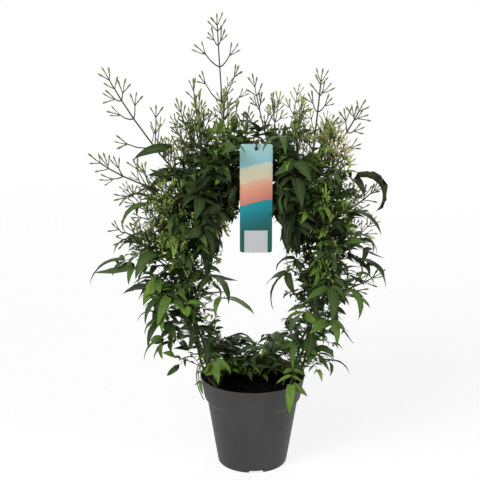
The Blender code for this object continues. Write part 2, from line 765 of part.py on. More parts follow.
for name, (side, place, heading, lean, length, pairs) in PANICLES.items():
    def spray(root, outward, way):
        return panicle(root, outward, way, lean, length, pairs)

    grow_clear(f"panicle_{name}", spray, side, place, heading, taken, (GREENS["bud"], 0.5))
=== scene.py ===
import random
from math import atan2, cos, degrees, pi, radians, sin, sqrt

import bmesh
import bpy
from mathutils import Matrix, Vector


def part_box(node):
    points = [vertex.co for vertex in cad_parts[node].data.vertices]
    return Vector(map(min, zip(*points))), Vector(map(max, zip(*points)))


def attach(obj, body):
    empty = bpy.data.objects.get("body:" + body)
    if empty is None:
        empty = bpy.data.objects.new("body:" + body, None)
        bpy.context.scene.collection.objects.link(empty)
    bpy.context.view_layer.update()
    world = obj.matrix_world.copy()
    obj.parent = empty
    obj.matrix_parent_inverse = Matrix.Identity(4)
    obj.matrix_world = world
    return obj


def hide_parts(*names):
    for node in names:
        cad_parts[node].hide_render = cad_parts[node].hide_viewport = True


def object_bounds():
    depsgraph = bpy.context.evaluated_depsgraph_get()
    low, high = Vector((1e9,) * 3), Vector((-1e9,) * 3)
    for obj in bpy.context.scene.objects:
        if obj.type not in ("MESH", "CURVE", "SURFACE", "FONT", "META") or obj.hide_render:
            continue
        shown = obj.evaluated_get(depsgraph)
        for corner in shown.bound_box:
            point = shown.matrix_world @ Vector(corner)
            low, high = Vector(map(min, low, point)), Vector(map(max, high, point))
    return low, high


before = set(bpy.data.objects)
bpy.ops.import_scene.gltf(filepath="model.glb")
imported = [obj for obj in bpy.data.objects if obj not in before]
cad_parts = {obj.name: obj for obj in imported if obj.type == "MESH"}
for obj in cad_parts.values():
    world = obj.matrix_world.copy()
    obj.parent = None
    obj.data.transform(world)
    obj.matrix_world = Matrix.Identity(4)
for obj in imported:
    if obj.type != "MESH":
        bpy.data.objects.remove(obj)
SOLID_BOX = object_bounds()

# ------------------------------------------------------------------ dimensions

UP = Vector((0, 0, 1))
BACK = Vector((0, 1, 0))

# Pot and peat. Rim and height are read from the solid.
POT_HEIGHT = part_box("pot")[1].z
RIM_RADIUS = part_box("pot")[1].x
COLLAR_FOOT = (0.0643, 0.094)  # radius and height where the collar ends
SHOULDER = (0.0603, 0.0885)  # and where the slope below it ends
BASE_RADIUS = 0.046
WALL = 0.0013
CHANNEL_HEIGHT = 0.0040
FOOT_RING = 0.0035
PAD_RADIUS = 0.018
POT_SIDES = 192
POT_CURVE = 0.0010  # radius of the pot's small corners
NOTCHES = 3
HOLES = 6
NOTCH_WIDTH = 0.019
SEAM_NORMAL = (cos(radians(10)), -sin(radians(10)), 0)  # square to the mould's parting plane
NOTCH_TURN = radians(-84)  # where the first notch and the first hole lie
HOLE_RADIUS = 0.0035
PEAT_TOP = 0.108
PEAT_CROWN = 0.002
PEAT_SLACK = 0.0006  # between the peat and the pot's wall
CRUMBS_PER_AREA = 150000  # crumbs in a square metre
CRUMB_SIZES = (0.0006, 0.0026)

# Hoop. Waist and top are read from the solid.
ROD_RADIUS = 0.0016
ROD_DEPTH = 0.060
HOOP_FOOT = 0.050
HOOP_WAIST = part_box("hoop")[1].x - ROD_RADIUS
HOOP_WAIST_HEIGHT = 0.295
HOOP_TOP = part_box("hoop")[1].z - ROD_RADIUS
HALF_STEPS = 60  # steps in the leg, and as many in the arch, of half the hoop

# Climbing stems and runners
STEM_RADIUS = 0.0018
STEM_TIP_RADIUS = 0.0010
WIND_RADIUS = 0.0060
FOOT_SPREAD = 0.0100
SPREAD_SHARE = 0.16  # share of the half hoop along which the stems draw in to it
STEM_DEPTH = 0.015
STEM_RINGS = 110
STEMS = {  # side: phase round the wire in degrees, how far up the half hoop, turns round it
    "left": [(20, 0.97, 2.6), (140, 0.90, 2.6), (260, 0.94, 2.6)],
    "right": [(80, 0.93, -2.4), (200, 0.96, -2.4), (320, 0.88, -2.4)],
}
# name: half the span, distance behind the middle, height
RUNNERS = {"runner_high": (0.034, 0.046, 0.132), "runner_low": (0.028, 0.040, 0.124)}
RUNNER_RADIUS = 0.0010
RUNNER_DEPTH = 0.010

# Tag and its tie
TAG_LOW, TAG_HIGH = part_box("hang_tag")
TAG_CORNER = 0.003
TAG_HOLE = 0.0025
TAG_HOLE_DROP = 0.006
TAG_CURL = 0.0016
TAG_BELLY = 0.0022
TIE_RADIUS = 0.0009
TIE_REAR_HALF = 0.0115  # half heights of the loop round the hoop and through the tag
TIE_FRONT_HALF = 0.0075

# name: side, place up the half hoop, heading, rise, droop in degrees, length, leaflet, pairs
# Headings: 0 is right, 90 back, 180 left, 270 front.
SHOOTS = {
    "left_01": ("left", 0.07, 285, 40, 95, 0.066, 0.021, 3),
    "left_02": ("left", 0.17, 198, 8, 60, 0.056, 0.022, 3),
    "left_03": ("left", 0.22, 285, 10, 45, 0.075, 0.032, 3),
    "left_04": ("left", 0.33, 168, 22, 45, 0.085, 0.034, 3),
    "left_05": ("left", 0.36, 235, 10, 45, 0.090, 0.036, 3),
    "left_06": ("left", 0.44, 310, 14, 50, 0.098, 0.038, 3),
    "left_07": ("left", 0.50, 185, 22, 55, 0.120, 0.040, 4),
    "left_08": ("left", 0.55, 105, 15, 40, 0.080, 0.036, 3),
    "left_09": ("left", 0.68, 198, 15, 50, 0.096, 0.034, 4),
    "left_10": ("left", 0.85, 190, 66, 110, 0.112, 0.036, 3),
    "left_11": ("left", 0.78, 270, 15, 60, 0.085, 0.036, 3),
    "left_12": ("left", 0.86, 115, 30, 45, 0.085, 0.034, 3),
    "left_13": ("left", 0.16, 325, 30, 55, 0.088, 0.030, 3),
    "left_14": ("left", 0.30, 345, 30, 45, 0.120, 0.036, 3),
    "right_01": ("right", 0.07, 262, 45, 110, 0.092, 0.026, 3),
    "right_02": ("right", 0.12, 348, 20, 55, 0.062, 0.026, 3),
    "right_03": ("right", 0.24, 250, 10, 45, 0.075, 0.032, 3),
    "right_04": ("right", 0.31, 20, 15, 45, 0.090, 0.034, 3),
    "right_05": ("right", 0.38, 305, 10, 50, 0.085, 0.036, 3),
    "right_06": ("right", 0.47, 352, 14, 60, 0.078, 0.034, 3),
    "right_07": ("right", 0.48, 220, 8, 75, 0.108, 0.036, 3),
    "right_08": ("right", 0.58, 75, 15, 40, 0.080, 0.036, 3),
    "right_09": ("right", 0.67, 325, 24, 55, 0.086, 0.036, 3),
    "right_10": ("right", 0.78, 2, 34, 80, 0.108, 0.036, 4),
    "right_11": ("right", 0.82, 280, 15, 60, 0.080, 0.034, 3),
    "right_12": ("right", 0.88, 70, 30, 45, 0.085, 0.034, 3),
    "right_13": ("right", 0.20, 215, 18, 45, 0.078, 0.030, 3),
    "top_01": ("left", 0.93, 245, 25, 70, 0.080, 0.034, 3),
    "top_02": ("right", 0.92, 300, 25, 70, 0.085, 0.036, 3),
    "top_03": ("left", 0.95, 75, 35, 60, 0.075, 0.034, 3),
}

# name: side, place up the half hoop, heading, lean from upright in degrees, length, bud pairs
PANICLES = {
    "spire": ("left", 0.96, 205, 4, 0.190, 4),
    "left_high": ("left", 0.805, 183, 35, 0.190, 4),
    "left_wing": ("left", 0.72, 182, 66, 0.142, 4),
    "left_back": ("left", 0.84, 120, 18, 0.128, 3),
    "left_crown": ("left", 0.86, 215, 24, 0.110, 3),
    "left_low": ("left", 0.52, 190, 70, 0.112, 3),
    "middle_back": ("left", 0.96, 80, 22, 0.085, 3),
    "right_slant": ("right", 0.92, 168, 18, 0.118, 3),
    "right_tall": ("right", 0.76, 350, 6, 0.147, 4),
    "right_crown": ("right", 0.72, 300, 10, 0.095, 3),
    "right_fan": ("right", 0.75, 348, 32, 0.132, 4),
    "right_back": ("right", 0.78, 80, 35, 0.095, 3),
    "right_wing": ("right", 0.66, 5, 60, 0.088, 3),
    "right_low": ("right", 0.43, 350, 72, 0.084, 3),
}

# Growth of leaves and panicles
AXIS_HALF = 0.0007  # half the thickness of a leaf's stalk
ROOT_INSET = 0.8  # share of a stem's radius at which a shoot starts
FOOTHOLD_STEPS = 8  # steps up and down a stem in which a shoot looks for its foothold
FOOTHOLD_STEP = 0.006
LEAST_PLACE = 0.015  # the lowest foothold, and how far one keeps from a stem's end
TIP_MARGIN = 0.010
END_LEAFLET = 1.3  # its length against the pairs, which get shorter toward the foot
PAIR_SHORTENING = 0.12
LEAFLET_SPLAY = radians(60)  # between a leaflet and the stalk
LEAFLET_DIP = 0.12
LEAN_AT_FOOT = 1.25  # a panicle's lean at its foot and tip, against its mean
LEAN_AT_TIP = 0.75
BARE_STEPS = 2  # steps of a panicle's axis below its first pair
LENGTH_LEFT = 0.62  # share of a panicle's length left above each pair, against the last
BRANCH_SHARE = 0.46  # a branch's length against the length left above it
BRANCH_LEAST = 0.006
BRANCH_TURN = radians(24)  # how far the pairs turn out of the plane of the lean
BRANCH_SPLAY = radians(44)
FORK_SPLAY = radians(30)
FORK_FROM = 0.026  # a branch at least this long ends in a fork
FORK_BUD = 0.017
TURN_STEP = 7  # degrees a solid may have been turned aside at a time
TURN_TRIES = 27
BUD_SIZE = 0.0135
SMALL_BUD = 0.0110
BUD_RISE = 0.12  # how far buds turn toward the light
AXIS_STALK = 0.00135  # radii at the foot of a panicle's axis, of a branch and of a bud's stalk
BRANCH_STALK = 0.00095
BUD_STALK = 0.00068
SIDE_SPRAYS = (0.022, 0.042)  # lengths of the small branches low on a panicle
SIDES_FROM = 0.11  # a panicle longer than this has them
SIDES_PER_PAIR = 2
LONG_BRANCH = 0.045  # a branch longer than this may fork once more: the chance, and where
SECOND_FORK = 0.6
SECOND_AT = 0.55
NODE_SWELLING = 0.050  # places between the swellings of a climbing stem
CROWN_DEPTH = 0.060  # from the hoop to where the leaves are painted brightest, as painted light
OVERREACH = 0.007  # how far a leaf may pass the solids' box
CLEAR_OPENING = ((-0.036, 0.165), (0.036, 0.315))  # x and z inside the hoop

# Room that leaves keep: beside, above, behind and in front of the tag, over the rim,
# outside and inside the pot's wall, and over the peat
TAG_ROOM = (0.004, 0.003, 0.005, 0.004)
POT_ROOM = (0.002, 0.0015, 0.004, 0.003)

# Leaflets
LOOSENESS = (0.05, 0.12, 0.36)  # of a placed leaf's end leaflet, of a placed or end one, of others
TILT = 0.6
END_SIZES = (0.95, 1.25)  # of end leaflets and of others, against the planned length
LEAF_SIZES = (0.70, 1.10)
LEAF_WIDTHS = (0.80, 1.15)
LEAF_SAG = 0.30
PAINTED_SHADE_AT_HOOP = 0.55  # share of the tone kept next to the hoop as painted shade, and the painted light added toward the outside
PAINTED_LIGHT_OUTWARD = 0.70
AGE_CHANGE = (-0.12, 0.15)


# ----------------------------------------------------------- node graph writing


def operator(operation, reflected=False):
    """A method that sets one maths node between a socket and another value."""

    def apply(self, other):
        return self.math(operation, *((other, self) if reflected else (self, other)))

    return apply


class Socket:
    """An output of a node graph that takes plain arithmetic."""

    def __init__(self, graph, output):
        self.graph = graph
        self.output = output

    def math(self, operation, *values):
        return self.graph.node("ShaderNodeMath", {"operation": operation}, dict(enumerate(values)))

    __add__ = operator("ADD")
    __radd__ = operator("ADD", reflected=True)
    __sub__ = operator("SUBTRACT")
    __rsub__ = operator("SUBTRACT", reflected=True)
    __mul__ = operator("MULTIPLY")
    __rmul__ = operator("MULTIPLY", reflected=True)
    __truediv__ = operator("DIVIDE")
    __lt__ = operator("LESS_THAN")

    def beside(self, name):
        """Another output of the same node."""
        return Socket(self.graph, self.output.node.outputs[name])

    def sine(self):
        return self.math("SINE", self)

    def size(self):
        return self.math("ABSOLUTE", self)

    def clamped(self):
        return self.math("MINIMUM", self.math("MAXIMUM", self, 0.0), 1.0)

    def between(self, low, high):
        """0 at low, 1 at high, smooth between."""
        settings = {"interpolation_type": "SMOOTHSTEP"}
        sockets = {"Value": self, "From Min": low, "From Max": high}
        return self.graph.node("ShaderNodeMapRange", settings, sockets)


class Graph:
    """A node tree with one method that adds any node, and short ways to the common ones."""

    def __init__(self, tree):
        self.tree = tree

    def node(self, kind, settings=None, sockets=None, output=0):
        made = self.tree.nodes.new(kind)
        for name, value in (settings or {}).items():
            if name == "stops":
                self.set_stops(made.color_ramp, value)
            else:
                setattr(made, name, value)
        for name, value in (sockets or {}).items():
            self.feed(made.inputs[name], value)
        return Socket(self, made.outputs[output]) if made.outputs else None

    def feed(self, target, value):
        if isinstance(value, Socket):
            self.tree.links.new(value.output, target)
        elif isinstance(value, tuple) and target.type == "RGBA":
            target.default_value = (*value[:3], 1)
        else:
            target.default_value = value

    def part(self, vector, axis):
        return self.node("ShaderNodeSeparateXYZ", None, {"Vector": vector}, axis)

    def vector_math(self, operation, sockets, output=0):
        return self.node("ShaderNodeVectorMath", {"operation": operation}, sockets, output)

    def light_seen(self):
        """1 on rays that are seen straight, in a reflection or through a clear surface."""
        straight = self.node("ShaderNodeLightPath", output="Is Camera Ray")
        reflected, through = straight.beside("Is Glossy Ray"), straight.beside("Is Transmission Ray")
        return (straight + reflected + through).clamped()

    @staticmethod
    def set_stops(ramp, stops):
        while len(ramp.elements) > 1:
            ramp.elements.remove(ramp.elements[-1])
        for i, (place, colour) in enumerate(stops):
            stop = ramp.elements[0] if i == 0 else ramp.elements.new(place)
            stop.position = place
            stop.color = (*colour, 1)


class Finish(Graph):
    """A material: its maths are expressions, its constants sit on the shader's sockets."""

    def __init__(self, name, **constants):
        self.material = bpy.data.materials.new(name)
        self.material.use_nodes = True
        super().__init__(self.material.node_tree)
        self.shader = self.tree.nodes["Principled BSDF"]
        for socket, value in constants.items():
            self.feed(self.shader.inputs[socket.replace("_", " ")], value)

    def place(self):
        return self.node("ShaderNodeTexCoord", output="Object")

    def attribute(self, name):
        return self.node("ShaderNodeAttribute", {"attribute_name": name}, output="Fac")

    def along_and_across(self):
        """The two numbers of the piece's own UV map."""
        uv = self.node("ShaderNodeUVMap", {"uv_map": "UVMap"})
        return self.part(uv, "X"), self.part(uv, "Y")

    def noise(self, scale, detail, stretch=(1, 1, 1)):
        where = self.node("ShaderNodeMapping", None, {"Vector": self.place(), "Scale": stretch})
        sockets = {"Vector": where, "Scale": scale, "Detail": detail, "Roughness": 0.55}
        return self.node("ShaderNodeTexNoise", None, sockets, "Fac")

    def mix(self, factor, low, high):
        return self.node("ShaderNodeMix", {"data_type": "RGBA"}, {0: factor, 6: low, 7: high}, 2)

    def ramp(self, factor, stops):
        return self.node("ShaderNodeValToRGB", {"stops": stops}, {"Fac": factor})

    def give(self, **varying):
        for socket, value in varying.items():
            self.feed(self.shader.inputs[socket.replace("_", " ")], value)

    def bump(self, height, distance, strength=1.0):
        sockets = {"Height": height, "Distance": distance, "Strength": strength}
        self.give(Normal=self.node("ShaderNodeBump", None, sockets))


class Tree(Graph):
    """A geometry node tree with named inputs, which ends as one real mesh with a finish."""

    def __init__(self, name, **inputs):
        super().__init__(bpy.data.node_groups.new(name, "GeometryNodeTree"))
        face = self.tree.interface
        face.new_socket("Geometry", in_out="OUTPUT", socket_type="NodeSocketGeometry")
        kinds = {"Geometry": "Geometry"}
        kinds.update({key.replace("_", " "): kind for key, kind in inputs.items()})
        for key, kind in kinds.items():
            face.new_socket(key, in_out="INPUT", socket_type=f"NodeSocket{kind}")
        first = self.node("NodeGroupInput")
        self.given = {key: first.beside(key) for key in kinds}

    def random(self, low, high, seed):
        """A random number, or a random vector, for each point."""
        if isinstance(low, tuple):
            kind, first, output = "FLOAT_VECTOR", 0, 0
        else:
            kind, first, output = "FLOAT", 2, 1
        sockets = {first: low, first + 1: high, "Seed": seed}
        return self.node("FunctionNodeRandomValue", {"data_type": kind}, sockets, output)

    def scaled(self, vector, factor):
        return self.vector_math("SCALE", {0: vector, "Scale": factor})

    def named(self, name, kind):
        return self.node("GeometryNodeInputNamedAttribute", {"data_type": kind}, {"Name": name})

    def end(self, finish, *parts):
        """Join the parts, make them real and give them a finish."""
        joined = self.node("GeometryNodeJoinGeometry")
        for part in parts:
            self.feed(joined.output.node.inputs[0], part)
        real = self.node("GeometryNodeRealizeInstances", None, {"Geometry": joined})
        dressed = self.node("GeometryNodeSetMaterial", None, {"Geometry": real, "Material": finish})
        self.node("NodeGroupOutput", None, {"Geometry": dressed})
        return self.tree


# --------------------------------------------------------------------- finishes


def pot_plastic():
    """Dark grey moulded plastic: a satin skin, faint flow streaks and light scuffs."""
    m = Finish("pot_plastic", Specular_IOR_Level=0.3)
    grain = m.noise(2600, 2)
    cloud = m.noise(22, 4)
    streak = m.noise(60, 3, stretch=(1, 1, 0.06))
    scuff = m.noise(150, 2, stretch=(1, 0.3, 0.12)).between(0.66, 0.74)
    flow = (cloud * 0.6 + streak * 0.4).between(0.3, 0.7)
    base = m.mix(flow, (0.050, 0.051, 0.0500), (0.067, 0.0675, 0.0665))
    base = m.mix(scuff * 0.35, base, (0.14, 0.14, 0.135))
    off_seam = m.vector_math("DOT_PRODUCT", {0: m.place(), 1: SEAM_NORMAL}, "Value")
    seam = 1 - off_seam.size().between(0.0001, 0.0005)
    m.give(Base_Color=m.mix(seam * 0.4, base, (0.020, 0.020, 0.020)))
    m.give(Roughness=0.48 + cloud * 0.16 + scuff * 0.12)
    m.bump(grain * 0.6 + streak * 0.4 - seam, 0.00012, 0.5)
    return m.material


def peat():
    """Damp peat: near black, with brown fibres and a little grit."""
    m = Finish("peat", Specular_IOR_Level=0.04, Roughness=1.0)
    lump = m.noise(260, 5)
    fibre = m.noise(420, 3, stretch=(1, 0.25, 1)).between(0.62, 0.72)
    grit = m.noise(1300, 1).between(0.74, 0.80)
    base = m.mix(lump.between(0.3, 0.75), (0.0025, 0.0022, 0.0018), (0.009, 0.007, 0.005))
    base = m.mix(fibre * 0.5, base, (0.022, 0.015, 0.010))
    m.give(Base_Color=m.mix(grit * 0.3, base, (0.060, 0.054, 0.045)))
    m.bump(lump, 0.0012)
    return m.material


def hoop_wire():
    """Plastic-coated wire, dark green with a dull shine."""
    m = Finish("hoop_wire", Coat_Weight=0.15)
    wear = m.noise(320, 3)
    m.give(Base_Color=m.mix(wear.between(0.35, 0.7), (0.018, 0.028, 0.018), (0.048, 0.062, 0.045)))
    m.give(Roughness=0.38 + wear * 0.25)
    m.bump(wear, 0.0001)
    return m.material


def stem_bark():
    """Thin bark that ripens from green to brown, ridged along the stem."""
    m = Finish("stem_bark", Specular_IOR_Level=0.15)
    ripe = m.noise(38, 3)
    ridge = m.noise(900, 2, stretch=(1, 1, 0.12))
    base = m.mix(ripe.between(0.35, 0.65), (0.070, 0.080, 0.026), (0.105, 0.066, 0.034))
    m.give(Base_Color=m.mix(ridge * 0.45, base, (0.030, 0.024, 0.014)))
    m.give(Roughness=0.55 + ridge * 0.25)
    m.bump(ridge, 0.0003)
    return m.material


def leaf():
    """A waxy leaf: paler midrib and side veins, mottled between, duller and paler below.

    The attribute tone runs from old and dark to young and bright, with painted shade next to the hoop and
    painted light toward the crown's outside, top and front; stalk marks the stalks.
    """
    m = Finish("leaf", Specular_IOR_Level=0.17)
    along, cross = m.along_and_across()
    tone = m.attribute("tone")
    under = m.attribute("under")
    stalk = m.attribute("stalk")
    off_rib = (cross - 0.5).size()
    rib = 1 - off_rib.between(0.010, 0.045)
    wave = (along * 52 - off_rib * 34).sine()
    vein = wave.between(0.80, 0.98) * (1 - along.between(0.80, 0.95))
    mottle = m.noise(160, 4)
    # The darkest stop is dark old green, deepened to near black as painted shade for leaves deep in the
    # crown.
    blade = m.ramp(
        tone,
        [
            (0.0, (0.005, 0.010, 0.003)),
            (0.3, (0.040, 0.074, 0.019)),
            (0.65, (0.120, 0.218, 0.038)),
            (1.0, (0.230, 0.410, 0.056)),
        ],
    )
    blade = m.mix(mottle.between(0.35, 0.7) * 0.35, blade, (0.045, 0.060, 0.014))
    lines = (rib * 0.45 + vein * 0.18).clamped()
    blade = m.mix(lines, blade, (0.160, 0.230, 0.080))
    blade = m.mix(under * 0.4, blade, (0.100, 0.140, 0.055))
    m.give(Base_Color=m.mix(stalk, blade, (0.085, 0.115, 0.035)))
    m.give(Roughness=0.42 + mottle * 0.2 + under * 0.2)
    m.bump(mottle * 0.3 - lines * 0.7, 0.0005, 0.7)
    return m.material


def bud():
    """Buds: dark green when young, then pale green, then cream with a blushed tip.

    The attribute tone runs through these ages; stalk marks the olive stalks.
    """
    m = Finish("bud", Specular_IOR_Level=0.18, Roughness=0.5)
    along, _ = m.along_and_across()
    tone = m.attribute("tone")
    stalk = m.attribute("stalk")
    young, green, cream = (
        m.ramp(along, list(zip((0.0, 0.36, 0.80, 1.0), colours)))
        for colours in (
            ((0.036, 0.050, 0.016), (0.090, 0.115, 0.040), (0.110, 0.125, 0.050), (0.085, 0.070, 0.036)),
            ((0.085, 0.145, 0.026), (0.260, 0.390, 0.080), (0.480, 0.600, 0.160), (0.400, 0.440, 0.130)),
            ((0.180, 0.230, 0.060), (0.640, 0.640, 0.260), (0.880, 0.760, 0.420), (0.800, 0.480, 0.300)),
        )
    )
    speck = m.noise(700, 2)
    flower = m.mix((tone * 2).clamped(), young, green)
    flower = m.mix((tone * 2 - 1).clamped(), flower, cream)
    flower = m.mix(speck.between(0.4, 0.8) * 0.15, flower, (0.16, 0.18, 0.07))
    m.give(Base_Color=m.mix(stalk, flower, (0.062, 0.074, 0.032)))
    m.bump(speck, 0.0002, 0.5)
    return m.material


def tag_print():
    """Glossy printed card: soft wavy bands of aqua, sand, coral and teal over a bare pale panel."""
    m = Finish("tag_print", Specular_IOR_Level=0.15, Coat_Weight=0.05, Coat_Roughness=0.2)
    left = (m.part(m.place(), "X") - TAG_LOW.x) / (TAG_HIGH.x - TAG_LOW.x)
    height = (m.part(m.place(), "Z") - TAG_LOW.z) / (TAG_HIGH.z - TAG_LOW.z)
    swell = (left * 5.2 + 0.8).sine() * 0.028 + (left * 9.0 + 2.0).sine() * 0.010
    bands = m.ramp(
        height + swell,
        [
            (0.22, (0.006, 0.110, 0.095)),
            (0.33, (0.002, 0.190, 0.230)),
            (0.42, (0.004, 0.300, 0.360)),
            (0.46, (0.004, 0.300, 0.360)),
            (0.47, (0.680, 0.230, 0.165)),
            (0.60, (0.820, 0.370, 0.250)),
            (0.66, (0.780, 0.500, 0.330)),
            (0.67, (0.740, 0.620, 0.420)),
            (0.80, (0.640, 0.660, 0.520)),
            (0.82, (0.280, 0.560, 0.590)),
            (1.0, (0.380, 0.640, 0.640)),
        ],
    )
    inside = ((left - 0.5).size() < 0.36) * (height < 0.205)
    ink = m.noise(1800, 1)
    printed = m.mix(inside, bands, (0.60, 0.62, 0.62))
    m.give(Base_Color=m.mix(ink * 0.03, printed, (0.9, 0.9, 0.9)))
    m.give(Roughness=0.30 + ink * 0.1)
    return m.material


def tie_cord():
    """A dark rubber cord with a dusty skin."""
    m = Finish("tie_cord", Specular_IOR_Level=0.3)
    dust = m.noise(900, 2)
    m.give(Base_Color=m.mix(dust.between(0.4, 0.7), (0.022, 0.014, 0.010), (0.060, 0.042, 0.030)))
    m.give(Roughness=0.6 + dust * 0.2)
    m.bump(dust, 0.0001)
    return m.material


# --------------------------------------------------------------- plain meshes


def shade(obj, sharp=40):
    obj.data.shade_smooth()
    obj.data.set_sharp_from_angle(angle=radians(sharp))


def mesh_of(name, bm):
    mesh = bpy.data.meshes.new(name)
    bm.to_mesh(mesh)
    bm.free()
    return mesh


def add_to_scene(name, data):
    obj = bpy.data.objects.new(name, data)
    bpy.context.scene.collection.objects.link(obj)
    return obj


def add_object(name, mesh, finish):
    """An object at the origin with one finish."""
    mesh.materials.append(finish)
    return add_to_scene(name, mesh)


def add_form(name, bm, finish):
    """An object from a bmesh, which is used up."""
    return add_object(name, mesh_of(name, bm), finish)


def place_piece(obj, slot, *nodes):
    """Let a finished piece ride and stand for its solids; its slot is not used."""
    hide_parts(*nodes)
    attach(obj, "root")


def make_plain(obj):
    """Turn an object with modifiers into a plain mesh, modifiers removed."""
    bpy.context.view_layer.update()
    evaluated = obj.evaluated_get(bpy.context.evaluated_depsgraph_get())
    mesh = bpy.data.meshes.new_from_object(evaluated)
    obj.modifiers.clear()
    obj.data = mesh


def cut_out(obj, cutters):
    """Boolean the cutters out of an object and delete them."""
    for cutter in cutters:
        boolean = obj.modifiers.new("cut", "BOOLEAN")
        boolean.operation = "DIFFERENCE"
        boolean.object = cutter
    make_plain(obj)
    for cutter in cutters:
        bpy.data.objects.remove(cutter)


def turns(count):
    """Angles of a whole turn in equal steps."""
    return [2 * pi * i / count for i in range(count)]


def bridge(bm, rings):
    """Faces between each ring of vertices and the next; a ring may be a single point."""
    for low, high in zip(rings, rings[1:]):
        sides = max(len(low), len(high))
        for i in range(sides):
            j = (i + 1) % sides
            corners = (low[i % len(low)], high[i % len(high)], high[j % len(high)], low[j % len(low)])
            bm.faces.new(list(dict.fromkeys(corners)))
    bmesh.ops.recalc_face_normals(bm, faces=bm.faces)
    return bm


def lathe(profile, sides):
    """Turn a closed run of (radius, height), both ends on the axis, round Z."""
    bm = bmesh.new()
    rings = []
    for radius, height in profile:
        angles = turns(sides) if radius else [0]
        rings.append([bm.verts.new((radius * cos(a), radius * sin(a), height)) for a in angles])
    return bridge(bm, rings)


def tube(points, radius, sides, closed=False):
    """A round tube along points; a closed one lies in a plane square to X."""
    bm = bmesh.new()
    count = len(points)
    rings = []
    up = BACK
    for i, point in enumerate(points):
        before = points[(i - 1) % count] if closed else points[max(i - 1, 0)]
        after = points[(i + 1) % count] if closed else points[min(i + 1, count - 1)]
        direction = (after - before).normalized()
        if closed:
            up = Vector((1, 0, 0))
        up = (up - direction * up.dot(direction)).normalized()
        side, upward = across(direction, up)
        rings.append(
            [bm.verts.new(point + radius * (cos(a) * side + sin(a) * upward)) for a in turns(sides)]
        )
    if closed:
        rings.append(rings[0])
    else:
        bm.faces.new(rings[0][::-1])
        bm.faces.new(rings[-1])
    return bridge(bm, rings)


# ------------------------------------------------------------------ pot and peat


def outer_radius(height):
    """Outer radius of the pot's wall at a height."""
    if height >= COLLAR_FOOT[1]:
        low, high = COLLAR_FOOT, (RIM_RADIUS, POT_HEIGHT)
    elif height >= SHOULDER[1]:
        low, high = SHOULDER, COLLAR_FOOT
    else:
        low, high = (BASE_RADIUS, 0), SHOULDER
    part = (height - low[1]) / (high[1] - low[1])
    return low[0] + part * (high[0] - low[0])


def rounded(points, steps=3):
    """A run of points with each inner corner replaced by a short curve."""
    result = [points[0]]
    for before, corner, after in zip(points, points[1:], points[2:]):
        before, corner, after = Vector(before), Vector(corner), Vector(after)
        reach = min(POT_CURVE, (before - corner).length * 0.45, (after - corner).length * 0.45)
        start = corner + (before - corner).normalized() * reach
        end = corner + (after - corner).normalized() * reach
        for i in range(steps + 1):
            t = i / steps
            result.append(tuple((1 - t) ** 2 * start + 2 * t * (1 - t) * corner + t * t * end))
    result.append(points[-1])
    return result


def make_pot(finish):
    """The pot: a turned wall with a collar, a foot ring with notches, and drainage holes."""
    floor = CHANNEL_HEIGHT + WALL
    ring = BASE_RADIUS - FOOT_RING
    foot_curve = 0.002
    run = [
        (0, WALL),
        (PAD_RADIUS - WALL, WALL),
        (PAD_RADIUS, floor),
        (outer_radius(floor) - WALL, floor),
        (SHOULDER[0] - WALL, SHOULDER[1]),
        (COLLAR_FOOT[0] - WALL, COLLAR_FOOT[1]),
        (RIM_RADIUS - WALL, POT_HEIGHT - 0.0002),
        (RIM_RADIUS - WALL / 2, POT_HEIGHT),
        (RIM_RADIUS, POT_HEIGHT - 0.0003),
        (RIM_RADIUS - 0.0002, POT_HEIGHT - 0.0022),
        (RIM_RADIUS - 0.0007, POT_HEIGHT - 0.0028),
        COLLAR_FOOT,
        SHOULDER,
        (outer_radius(foot_curve), foot_curve),
        (BASE_RADIUS - foot_curve * 0.6, 0.0),
        (ring, 0.0),
        (ring, CHANNEL_HEIGHT),
        (PAD_RADIUS + WALL, CHANNEL_HEIGHT),
        (PAD_RADIUS, 0.0),
        (0, 0),
    ]
    pot = add_form("nursery_pot", lathe(rounded(run), POT_SIDES), finish)
    cutters = []
    for angle in turns(HOLES):
        bm = bmesh.new()
        place = Matrix.Rotation(NOTCH_TURN + angle, 4, "Z")
        place = place @ Matrix.Translation(((ring + PAD_RADIUS) / 2, 0, floor))
        sizes = {"radius1": HOLE_RADIUS, "radius2": HOLE_RADIUS, "depth": 4 * WALL}
        bmesh.ops.create_cone(bm, cap_ends=True, segments=28, matrix=place, **sizes)
        cutters.append(add_form("hole", bm, finish))
    corner = 0.0008
    for angle in turns(NOTCHES):
        bm = bmesh.new()
        place = Matrix.Rotation(NOTCH_TURN + angle, 4, "Z") @ Matrix.Translation((BASE_RADIUS, 0, 0))
        size = Matrix.Diagonal((3 * FOOT_RING, NOTCH_WIDTH, 2 * CHANNEL_HEIGHT - corner, 1))
        bmesh.ops.create_cube(bm, size=1, matrix=place @ size)
        top = [e for e in bm.edges if all(vert.co.z > 0 for vert in e.verts)]
        bmesh.ops.bevel(bm, geom=top, offset=corner, segments=2, affect="EDGES")
        cutters.append(add_form("notch", bm, finish))
    cut_out(pot, cutters)
    shade(pot, 32)
    place_piece(pot, "pot_plastic", "pot")


